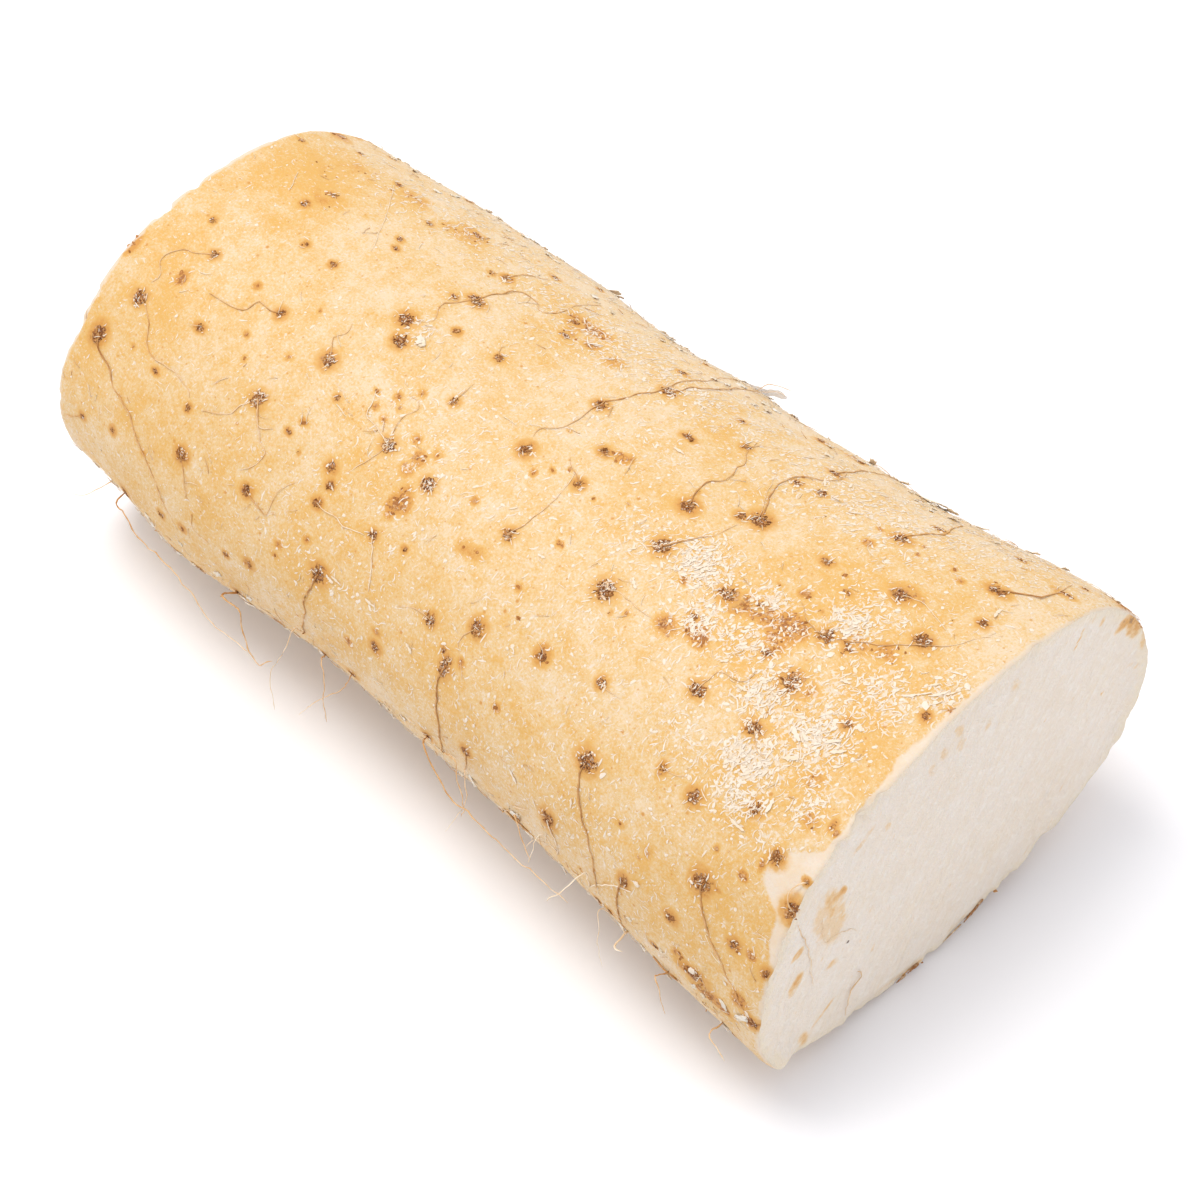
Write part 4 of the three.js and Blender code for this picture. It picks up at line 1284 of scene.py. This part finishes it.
        (25.2, -37, 20.6), (27.4, -37, 20.2), (29.2, -37, 20.4), (31.6, -37, 20.2), (35.4, -37, 19.8)]),
    rootlet((0.26, 0.1), (0.3, 1.0), [(75.7, 179), (75.6, 183), (75.2, 188)], [(15.4, -34.0, 23.4),
        (16.8, -35.2, 22.2), (17.2, -35.8, 20.6), (15.8, -36.4, 16.6), (14.4, -36.8, 13.4)]),
    rootlet((0.34, 0.16), (0.25, 0.6), [(84.5, 192)], [(24.2, -34.4, 23.6), (26.6, -35.6, 22.2),
        (28.6, -36.2, 20.8)]),
    rootlet((0.36, 0.3), (0.2, 0.4), [(82, 193), (84.6, 193.6), (87, 194)]),
    rootlet((0.26, 0.16), (0.9, 1.0), [(90.3, 178), (91.6, 184), (91.8, 190)], [(28.6, -34.4, 24.2),
        (28.2, -35.4, 22.2), (28.0, -36.0, 19.4)]),
    rootlet((0.2, 0.1), (0.9, 1.0), [(90, 184), (89.4, 190)], [(27.2, -34.6, 21.8), (26.8, -35.4, 20.6)]),
    rootlet((0.24, 0.08), (0.8, 1.0), [(100.6, 196)], [(38.6, -35.0, 19.6), (39.6, -36.0, 18.6),
        (39.8, -36.4, 16.4), (40.2, -36.6, 14.6), (41.0, -36.8, 12.4)]),
    rootlet((0.5, 0.3), (0.85, 0.95), [(103.4, 199)], [(42.0, -35.8, 16.6), (43.6, -36.2, 17.4)]),
    rootlet((0.34, 0.14), (0.3, 0.65), [(110.5, 200)], [(48.6, -36.0, 17.4), (49.8, -36.6, 17.2),
        (50.6, -36.9, 15.4), (51.4, -37, 13.6)]),
    rootlet((0.4, 0.3), (0.15, 0.4), [(108, 199), (110, 200), (112, 201)]),
    rootlet((0.34, 0.2), (0.4, 0.8), [(119, 204)], [(57.6, -36.2, 15.4), (59.2, -36.6, 14.8),
        (60.6, -36.8, 13.6)]),
    rootlet((0.16, 0.12), (0.9, 1.0), [(7, 78), (8, 81), (9, 84)]),
    rootlet((0.14, 0.1), (0.8, 1.0), [(15, 60), (19, 70), (22, 78), (24, 84)]),
    rootlet((0.14, 0.1), (0.8, 1.0), [(109.4, 81), (111.5, 80), (114, 81), (116.6, 82.5)]),
]


def alongCurve(stops, step):
    # evenly stepped points on a smooth curve through the stops
    stops = np.asarray(stops, float)
    padded = np.vstack([2 * stops[0] - stops[1], stops, 2 * stops[-1] - stops[-2]])
    made = []
    for i in range(1, len(padded) - 2):
        p0, p1, p2, p3 = padded[i - 1:i + 3]
        count = max(1, int(np.linalg.norm(p2 - p1) / step))
        for n in range(count):
            t = n / count
            made.append(0.5 * (2 * p1 + (p2 - p0) * t + (2 * p0 - 5 * p1 + 4 * p2 - p3) * t**2
                               + (3 * p1 - p0 - 3 * p2 + p3) * t**3))
    made.append(stops[-1])
    return np.array(made)


def addTube(store, line, radii, tones, sides):
    points, faces, shades = store
    ahead = unit(np.gradient(line, axis=0))
    side = unit(np.cross(ahead, np.where(np.abs(ahead[:, 2:]) > 0.9, (1.0, 0, 0), (0, 0, 1.0))))
    up = np.cross(side, ahead)
    start = len(points)
    count = len(line)
    for n in range(sides):
        angle = 2 * math.pi * n / sides
        points.extend((line + (side * math.cos(angle) + up * math.sin(angle)) * radii[:, None]).tolist())
        shades.extend(tones.tolist())
    for n in range(sides):
        here = start + n * count
        there = start + (n + 1) % sides * count
        faces.extend([(here + k, there + k, there + k + 1, here + k + 1) for k in range(count - 1)])
    faces.append(tuple(start + n * count for n in range(sides))[::-1])
    faces.append(tuple(start + n * count + count - 1 for n in range(sides)))


def skinLine(route, arch):
    # a smooth path over the skin through the route, arched off it in the middle
    path = np.array(route, float) * (1, rootletLook["mmPerDegree"])
    if len(path) > 1:
        path = alongCurve(path, rootletLook["step"])
    spots, _, _, outs = layFrame(path[:, 0], path[:, 1] / rootletLook["mmPerDegree"])
    raised = 0.07 + arch * np.sin(np.linspace(0, math.pi, len(path)))
    return spots + outs * raised[:, None]


def hiddenRootlets():
    # the unseen side has rootlets of its own
    chance = random.Random(37)
    made = []
    for along, around, size, *_ in knots:
        inSight = 44 <= around <= 203
        if size <= 1.3 or inSight or chance.random() >= rootletLook["hiddenShare"]:
            continue
        heading = chance.uniform(0, 2 * math.pi)
        route = [(along, around)]
        for _ in range(chance.randint(3, 9)):
            heading += chance.uniform(-0.6, 0.6)
            route.append((min(max(route[-1][0] + 1.7 * math.cos(heading), 1), 124),
                          route[-1][1] + 4.2 * math.sin(heading)))
        thick = (chance.uniform(0.2, 0.36), 0.12)
        made.append(rootlet(thick, (chance.uniform(0.1, 0.4), chance.uniform(0.5, 1.0)), route))
    return made


def addRootlet(store, pick, thick, tone, route, free, arch):
    line = skinLine(route, arch) if route else np.zeros((0, 3))
    if free:
        line = np.vstack([line[:-1], alongCurve(np.vstack([line[-1:], free]), rootletLook["step"])])
    if len(line) < 2:
        return
    size = len(line)
    share = np.linspace(0, 1, size)
    shake = pick.normal(0, rootletLook["kink"], (size, 3))
    shake = (shake + np.roll(shake, 1, 0)) * 0.5 * np.clip(share * 6, 0, 1)[:, None]
    line = line + shake
    line[:, 2] = np.maximum(line[:, 2], 0.2)
    radii = (thick[0] * (1 - share) + thick[1] * share) / 2 * rootletLook["fullness"]
    radii = radii * (1 + pick.uniform(-rootletLook["uneven"], rootletLook["uneven"], size))
    radii[-1] *= 0.4
    tones = np.clip(tone[0] * (1 - share) + tone[1] * share + pick.uniform(-0.12, 0.12, size), 0, 1)
    addTube(store, line, radii, tones, rootletLook["sides"])


def addStrayHairs(store, pick):
    # short pale hairs and broken rootlet ends that stand off the skin
    edge = rootletLook["edgeHairs"]
    count = rootletLook["hairCount"] + edge
    alongs = pick.uniform(0.5, 124.5, count)
    arounds = pick.uniform(0, 360, count)
    arounds[:edge // 2] = pick.uniform(8, 52, edge // 2)
    arounds[edge // 2:edge] = pick.uniform(188, 214, edge - edge // 2)
    taper = np.array(rootletLook["hairTaper"])
    t = np.linspace(0, 1, len(taper))[:, None]
    for spot, long, roundways, out in zip(*layFrame(alongs, arounds)):
        if spot[2] < 1.0:
            continue
        reach = pick.uniform(*rootletLook["hairLength"])
        way, across = headed(out, pick.uniform(0, 2 * math.pi), long, roundways)
        rise = pick.uniform(0.03, 0.32)
        bend = pick.uniform(-0.5, 0.5)
        raised = out * (0.05 + rise * reach * t * (1.3 - t))
        line = spot + way * t * reach + across * bend * reach * t**2 + raised
        line[:, 2] = np.maximum(line[:, 2], 0.1)
        thick = pick.uniform(0.03, 0.06)
        tone = pick.choice([0.45, 0.7, 0.9, 1.0, 1.0])
        addTube(store, line, thick * taper, np.full(len(taper), tone), 3)


def makeRootlets():
    pick = np.random.default_rng(37)
    store = newStore()
    for one in rootlets + hiddenRootlets():
        addRootlet(store, pick, **one)
    addStrayHairs(store, pick)
    return makeFromStore("rootlets", store, "rootletFibre")


makeRootlets()

# packing sawdust

sawdust = {
    "loose": 8200,           # thin slivers scattered over the whole skin
    "looseLength": (0.3, 1.1),
    "looseWidth": (0.08, 0.2),
    "onKnots": 2.2,          # slivers caught on a 1 mm knot
    "curls": 6800,           # worm-like curls and chips in the drifts
    "curlLength": (0.6, 1.5),
    "curlWidth": (0.13, 0.23),
    "chips": 0.35,           # share of the curls that are short wide chips
    "chipWidth": (0.24, 0.44),
    "crumbs": 4300,
    "crumbSize": (0.12, 0.40),
    "crumbShape": ((0.8, 1.5), (0.6, 1.0), (0.15, 0.36)),    # length, width and height for its size
    "shavings": 60,
    "shavingLength": (0.9, 1.9),
    "shavingWidth": (0.2, 0.45),
    "shavingRise": 0.08,
    "lie": (-1.3, 0.5),      # most pieces point much the same way
    "looseRise": 0.015,      # how far a sliver stands off the skin
    "driftRise": 0.08,       # how much more where the sawdust is deep
    "knotRise": (0.04, 0.16),        # and how much more on a knot
    "curlRise": (0.02, 0.15),        # the same for curls, on bare skin and at most in a drift
    "edge": 0.006,           # how far a strip's edges are sunk in the skin
    "ridge": (0.004, 0.08),  # height of the ridge along its middle, and how much more for its width
}


def scatterSpots(count, pick, power, batch=20000):
    # more land where the sawdust has drifted
    alongs = np.empty(0)
    arounds = np.empty(0)
    while len(alongs) < count:
        a = pick.uniform(0.6, 124.4, batch)
        t = pick.uniform(0, 360, batch)
        keep = (pick.uniform(0, 1, batch) < dustAt(a, t) ** power) & (bareAt(a, t) < 0.3)
        alongs = np.concatenate([alongs, a[keep]])
        arounds = np.concatenate([arounds, t[keep]])
    return alongs[:count], arounds[:count]


def layStrips(name, places, shapes, tones, pick, steps, ragged=0.7):
    # thin strips that follow the skin, flat underneath with a low ridge along the middle
    alongs, arounds, headings = places
    lengths, widths, bends, curls, rises = shapes
    count = len(alongs)
    _, _, _, outs = layFrame(alongs, arounds)
    twoDegrees = smoothSkin(alongs, arounds + 1) - smoothSkin(alongs, arounds - 1)
    perDegree = np.linalg.norm(twoDegrees, axis=-1) / 2
    t = np.linspace(-0.5, 0.5, steps)[None, :]
    forward = lengths[:, None] * t
    pointed = 1 - 0.6 * (2 * np.abs(t)) ** 3
    half = widths[:, None] / 2 * pointed * pick.uniform(ragged, 1.15, (count, steps))
    middle = bends[:, None] * lengths[:, None] * (t * t - 0.08)
    turned = np.where(curls < 0, -1.0, 1.0)[:, None]
    raised = rises[:, None] + np.abs(curls)[:, None] * (t + 0.5 * turned) ** 2 * lengths[:, None]
    low = raised - sawdust["edge"]
    high = raised + sawdust["ridge"][0] + sawdust["ridge"][1] * half
    c = np.cos(headings)[:, None]
    s = np.sin(headings)[:, None]
    rows = []
    for side, lift in ((-1, low), (0, high), (1, low)):
        sideways = middle + side * half
        along = alongs[:, None] + forward * c + sideways * s
        around = arounds[:, None] + (forward * s - sideways * c) / perDegree[:, None]
        rows.append(onSkin(along, around) + outs[:, None, :] * lift[..., None])
    points = np.stack(rows, 2).reshape(-1, 3)
    points[:, 2] = np.maximum(points[:, 2], 0.02)

    last = 3 * (steps - 1)
    sides = [face for a in range(0, last, 3)
             for face in ((a, a + 3, a + 4, a + 1), (a + 1, a + 4, a + 5, a + 2), (a + 2, a + 5, a + 3, a))]
    ends = [(0, 1, 2), (last, last + 2, last + 1)]
    starts = (np.arange(count) * 3 * steps)[:, None, None]
    faces = []
    for part in (sides, ends):
        faces += (np.array(part)[None] + starts).reshape(-1, len(part[0])).tolist()
    store = (points, faces, np.repeat(tones, 3 * steps))
    return makeFromStore(name, store, "sawdust", smooth=False)


def headingsFor(count, pick, share):
    settled = pick.normal(*sawdust["lie"], count)
    return np.where(pick.uniform(0, 1, count) < share, settled, pick.uniform(0, 2 * math.pi, count))


def makeSlivers():
    pick = np.random.default_rng(53)
    alongs, arounds = scatterSpots(sawdust["loose"], pick, 0.75)
    tones = pick.choice([0.1, 0.3, 0.5, 0.65], len(alongs))
    knotAlongs = []
    knotArounds = []
    for along, around, size, greyness, _ in knots:
        for _ in range(int(sawdust["onKnots"] * size ** 1.5 * (0.15 + 1.3 * greyness))):
            way = pick.uniform(0, 2 * math.pi)
            far = size * 0.66 * math.sqrt(pick.uniform(0, 1))
            knotAlongs.append(along + far * math.cos(way))
            knotArounds.append(around + far * math.sin(way) * scabs["roundStep"])
    alongs = np.clip(np.concatenate([alongs, knotAlongs]), 0.6, 124.4)
    arounds = np.concatenate([arounds, knotArounds])
    tones = np.concatenate([tones, pick.choice([0.0, 0.1, 0.4], len(knotAlongs))])
    count = len(alongs)
    onKnot = np.arange(count) >= count - len(knotAlongs)
    rises = sawdust["looseRise"] + dustAt(alongs, arounds) * pick.uniform(0, sawdust["driftRise"], count)
    rises = rises + onKnot * pick.uniform(*sawdust["knotRise"], count)
    lengths = pick.uniform(*sawdust["looseLength"], count) * pick.choice([0.5, 0.7, 1.0], count)
    headings = headingsFor(count, pick, 0.6)
    widths = pick.uniform(*sawdust["looseWidth"], count)
    bends = pick.uniform(-0.5, 0.5, count)
    curls = pick.uniform(-0.03, 0.03, count)
    shapes = (lengths, widths, bends, curls, rises)
    layStrips("sawdustSlivers", (alongs, arounds, headings), shapes, tones, pick, 3)


def makeCurls():
    pick = np.random.default_rng(57)
    alongs, arounds = scatterSpots(sawdust["curls"], pick, 1.7)
    count = len(alongs)
    chip = pick.uniform(0, 1, count) < sawdust["chips"]
    lengths = pick.uniform(*sawdust["curlLength"], count) * pick.choice([0.6, 0.8, 1.0], count)
    lengths = lengths * np.where(chip, 0.6, 1.0)
    chipWidths = pick.uniform(*sawdust["chipWidth"], count)
    widths = np.where(chip, chipWidths, pick.uniform(*sawdust["curlWidth"], count))
    bends = pick.uniform(-1.2, 1.2, count) * np.where(chip, 0.3, 1.0)
    low, more = sawdust["curlRise"]
    rises = low + dustAt(alongs, arounds) ** 2 * pick.uniform(0, more, count)
    headings = headingsFor(count, pick, 0.55)
    curls = pick.uniform(-0.05, 0.05, count)
    tones = pick.choice([0.0, 0.1, 0.35], count)
    shapes = (lengths, widths, bends, curls, rises)
    layStrips("sawdustCurls", (alongs, arounds, headings), shapes, tones, pick, 5)


# larger crumbs: along, around, size
placedCrumbs = [
    (105.3, 174, 1.4), (96, 152.6, 0.8), (117.8, 108.6, 1.0), (123.5, 89.5, 1.1), (114.6, 189, 1.1),
    (123.2, 189, 0.7), (109, 99.4, 0.7), (121.6, 97, 0.9), (104.6, 108.2, 0.8), (112, 162.2, 0.7),
    (61.2, 99.6, 0.5), (68.6, 152, 0.6),
]


def makeCrumbs():
    pick = np.random.default_rng(59)
    alongs, arounds = scatterSpots(sawdust["crumbs"], pick, 1.0)
    sizes = pick.uniform(*sawdust["crumbSize"], len(alongs)) * pick.choice([0.6, 0.8, 1.0, 1.4], len(alongs))
    both = zip((alongs, arounds, sizes), columnsOf(placedCrumbs))
    alongs, arounds, sizes = (np.concatenate(pair) for pair in both)
    store = newStore()
    for size, spot, long, roundways, out in zip(sizes, *layFrame(alongs, arounds)):
        if spot[2] < 0.8:
            continue
        first, second = headed(out, pick.uniform(0, math.pi), long, roundways)
        shape = size / 2 * np.array([pick.uniform(*span) for span in sawdust["crumbShape"]])
        corners = ballPoints * (1 + pick.uniform(-0.35, 0.35, (12, 3))) * shape
        up = out + first * pick.uniform(-0.25, 0.25)
        tone = pick.choice([0.0, 0.1, 0.3])
        addCrumb(store, spot + out * shape[2] * 0.4, (first, second, up), corners, tone)
    return makeFromStore("sawdustCrumbs", store, "sawdust", smooth=False)


# larger shavings: along, around, length, width, heading in degrees from the tuber's length, curl
placedShavings = [
    (121.8, 93.6, 2.4, 0.35, -54, 0.1), (120.4, 95.4, 2.0, 0.3, -48, 0.1),
    (122.9, 91.8, 1.7, 0.3, -62, -0.1), (119.4, 97.2, 1.7, 0.35, -42, 0.1),
    (122.3, 95.4, 1.6, 0.3, -56, 0.1), (120.6, 92.6, 1.4, 0.3, -50, 0.1), (112.6, 117.6, 2.1, 0.8, 25, 0.1),
    (117.8, 115.4, 1.8, 0.5, -40, 0.1), (114, 122.6, 1.8, 0.9, -30, 0.1), (113.6, 142, 2.4, 0.4, 8, 0.1),
    (115.6, 133.8, 1.8, 0.7, 80, 0.2), (50.8, 158, 1.8, 0.35, 5, 0.1), (56.5, 157, 1.8, 0.35, 0, 0.1),
    (49.8, 159, 1.4, 0.5, 15, 0.1), (52.2, 65, 3.2, 0.3, 38, 0.2), (52.6, 64, 2.6, 0.3, -52, -0.2),
    (84, 173, 1.9, 0.5, 35, 0.1), (64, 161, 1.4, 0.45, 30, 0.1), (93.4, 166, 1.3, 0.4, 75, 0.1),
    (39, 94, 1.8, 0.9, 60, 0.2), (92.5, 66, 2.4, 0.3, 10, 0.8), (118.8, 72.6, 2.0, 0.5, 75, 0.3),
]


def makeShavings():
    pick = np.random.default_rng(61)
    every = [(a, t, pick.uniform(*sawdust["shavingLength"]), pick.uniform(*sawdust["shavingWidth"]),
              pick.uniform(0, 180), pick.uniform(-0.3, 0.3))
             for a, t in zip(*scatterSpots(sawdust["shavings"], pick, 1.6))]
    alongs, arounds, lengths, widths, headings, curls = columnsOf(every + placedShavings)
    count = len(alongs)
    bends = pick.uniform(-0.3, 0.3, count)
    tones = pick.choice([0.1, 0.3, 0.5], count)
    places = (alongs, arounds, np.radians(headings))
    shapes = (lengths, widths, bends, curls * 0.5, np.full(count, sawdust["shavingRise"]))
    layStrips("sawdustShavings", places, shapes, tones, pick, 9, 0.35)


makeSlivers()
makeCurls()
makeCrumbs()
makeShavings()

# loose flakes of skin standing off the edge

flakeShape = {
    "grid": 6,               # points along each side of a flake
    "thickness": 0.05,
    "gap": 0.06,             # between its foot and the skin
    "curl": (0.45, 1.4),     # how far its end lifts off, and how late along it
    "ripple": (0.08, 2.1, 1.3),      # height, and turn for each row and column of points
    "extra": 210,            # small flakes at random round the hidden edges
    "extraAround": ((12, 50), (12, 50), (188, 212), (215, 370)),     # where, each as likely
}

# along, around, length, width, heading, lift, tone (0 whitish, 1 brown)
flakes = [
    (70.5, 20, 1.6, 1.0, -10, 0.3, 0.2), (64.5, 28, 1.4, 0.9, 15, 0.3, 0.3),
    (41, 24, 2.4, 1.2, 10, 0.6, 0.55), (42.5, 26, 1.6, 0.9, -20, 0.5, 0.6),
    (50, 22, 1.5, 1.0, 30, 0.6, 0.6), (53.5, 22, 1.8, 1.2, 0, 0.6, 0.5), (52, 26, 1.4, 1.0, 0, 0.5, 0.4),
    (96, 34, 4.0, 2.4, 0, 0.3, 0.45), (98, 30, 2.4, 1.6, 15, 0.4, 0.5), (86, 30, 1.4, 0.9, 70, 0.9, 0.5),
    (91, 30, 1.6, 0.8, 10, 0.6, 0.5), (102, 44, 1.8, 0.9, 20, 0.5, 0.5), (103.5, 33, 1.8, 1.0, 0, 0.4, 0.5),
    (110, 30, 2.0, 1.0, 10, 0.4, 0.5), (114, 28, 1.4, 0.7, 30, 0.5, 0.4), (29, 24, 1.2, 0.8, 0, 0.5, 0.6),
    (19, 24, 1.6, 0.9, 10, 0.5, 0.6), (102.4, 200, 1.6, 1.0, 30, 0.5, 0.4),
    (110, 203, 1.6, 0.9, -20, 0.5, 0.4), (119, 206, 1.6, 1.0, 10, 0.4, 0.3),
    (58, 198, 1.0, 0.7, 0, 0.5, 0.5), (39.4, 94, 1.6, 0.9, 40, 0.2, 0.4),
]
clearFlakes = [(67.6, 25.5, 5.4, 3.2, 6, 0.55, 0.0), (71.4, 22, 2.2, 1.5, -20, 0.4, 0.0)]


def flakeFaces(n):
    # a top, an underside and the edge between them, on two square grids of points
    size = n * n
    faces = []
    for r in range(n - 1):
        for a in range(r * n, r * n + n - 1):
            faces.append((a, a + 1, a + n + 1, a + n))
            faces.append((a + size, a + size + n, a + size + n + 1, a + size + 1))
    edge = [*range(n), *range(2 * n - 1, size, n)]
    edge += [*range(size - 2, size - n - 1, -1), *range(size - 2 * n, 0, -n)]
    for a, b in zip(edge, edge[1:] + edge[:1]):
        faces.append((a, a + size, b + size, b))
    return faces


def makeFlakes(name, every, material, extra):
    pick = np.random.default_rng(71)
    every = list(every)
    for _ in range(extra):
        around = pick.choice([pick.uniform(*span) for span in flakeShape["extraAround"]])
        every.append((pick.uniform(2, 123), around, pick.uniform(0.5, 1.8), pick.uniform(0.35, 0.9),
                      pick.uniform(0, 180), pick.uniform(0.1, 0.45), pick.uniform(0.15, 0.55)))
    n = flakeShape["grid"]
    oneFlake = flakeFaces(n)
    store = newStore()
    points, faces, tones = store
    places = zip(*layFrame(*columnsOf(every)[:2]))
    height, late = flakeShape["curl"]
    ripple, perRow, perColumn = flakeShape["ripple"]
    for i, (flake, (spot, long, roundways, out)) in enumerate(zip(every, places)):
        if spot[2] < 1.5:
            continue
        _, _, length, width, heading, lift, tone = flake
        first, second = headed(out, math.radians(heading), long, roundways)
        start = len(points)
        ragged = pick.uniform(0.75, 1.15, (2, n))
        for under in (0, 1):
            for r, c in np.ndindex(n, n):
                u = (c / (n - 1) - 0.5) * length * ragged[0, r]
                v = (r / (n - 1) - 0.5) * width * ragged[1, c]
                stand = lift * (c / (n - 1)) ** late * length * height
                stand += ripple * math.sin(r * perRow + c * perColumn + i)
                stand += flakeShape["gap"] - flakeShape["thickness"] * under
                points.append((spot + first * u + second * v + out * stand).tolist())
        faces.extend([tuple(start + corner for corner in face) for face in oneFlake])
        tones.extend([tone] * (2 * n * n))
    return makeFromStore(name, store, material)


makeFlakes("skinFlakes", flakes, "skinFlake", flakeShape["extra"])
makeFlakes("clearFlakes", clearFlakes, "clearFlake", 0)

# brown scraps of skin left at the foot of the thick cut

scrapShape = {"steps": 9, "thickness": 0.12, "ragged": (0.5, 1.15), "bend": 0.05, "curl": 0.02}

# middle, heading, length, width, tone
footScraps = [
    ((62.5, 5.0, 2.25), (0, 1, 0.42), 2.7, 0.6, 1.0), ((62.55, 6.4, 2.95), (0, 1, 0.5), 1.5, 0.4, 0.9),
    ((62.5, 1.6, 1.6), (0, 1, 0.1), 3.4, 0.16, 0.8), ((62.5, -5.4, 1.4), (0, 1, 0.06), 1.9, 0.5, 1.0),
    ((62.5, -7.6, 1.45), (0, 1, -0.02), 1.7, 0.4, 0.9),
]


def addScrap(store, pick, middle, heading, length, width, tone):
    # a flat strip with square edges, bent a little sideways
    points, faces, tones = store
    way = unit(np.array(heading, float))
    out = unit(np.cross(way, np.cross(np.array([1.0, 0, 0.1]), way)))
    across = np.cross(out, way)
    bend = pick.uniform(-scrapShape["bend"], scrapShape["bend"])
    curl = pick.uniform(-scrapShape["curl"], scrapShape["curl"])
    start = len(points)
    steps = scrapShape["steps"]
    for t in np.linspace(-0.5, 0.5, steps):
        half = width / 2 * (1 - 0.45 * (2 * abs(t)) ** 3) * pick.uniform(*scrapShape["ragged"])
        raised = out * (abs(curl) * (t + math.copysign(0.5, curl)) ** 2 * length)
        core = middle + way * t * length * (1 - 0.25 * abs(curl)) + across * bend * length * t * t + raised
        twist = out * width * 0.1 * math.sin(t * 4 + middle[0] * 9)
        for side, under in ((-1, 0), (1, 0), (1, 1), (-1, 1)):
            corner = core + (across * half + twist) * side - out * scrapShape["thickness"] * under
            points.append(corner.tolist())
    for a in range(start, start + 4 * (steps - 1), 4):
        faces.extend([(a + n, a + 4 + n, a + 4 + (n + 1) % 4, a + (n + 1) % 4) for n in range(4)])
    end = start + 4 * (steps - 1)
    faces.append((start, start + 1, start + 2, start + 3))
    faces.append((end + 3, end + 2, end + 1, end))
    tones.extend([tone] * (4 * steps))


def makeFootScraps():
    pick = np.random.default_rng(83)
    store = newStore()
    for scrap in footScraps:
        addScrap(store, pick, *scrap)
    return makeFromStore("footScraps", store, "skinFlake")


makeFootScraps()
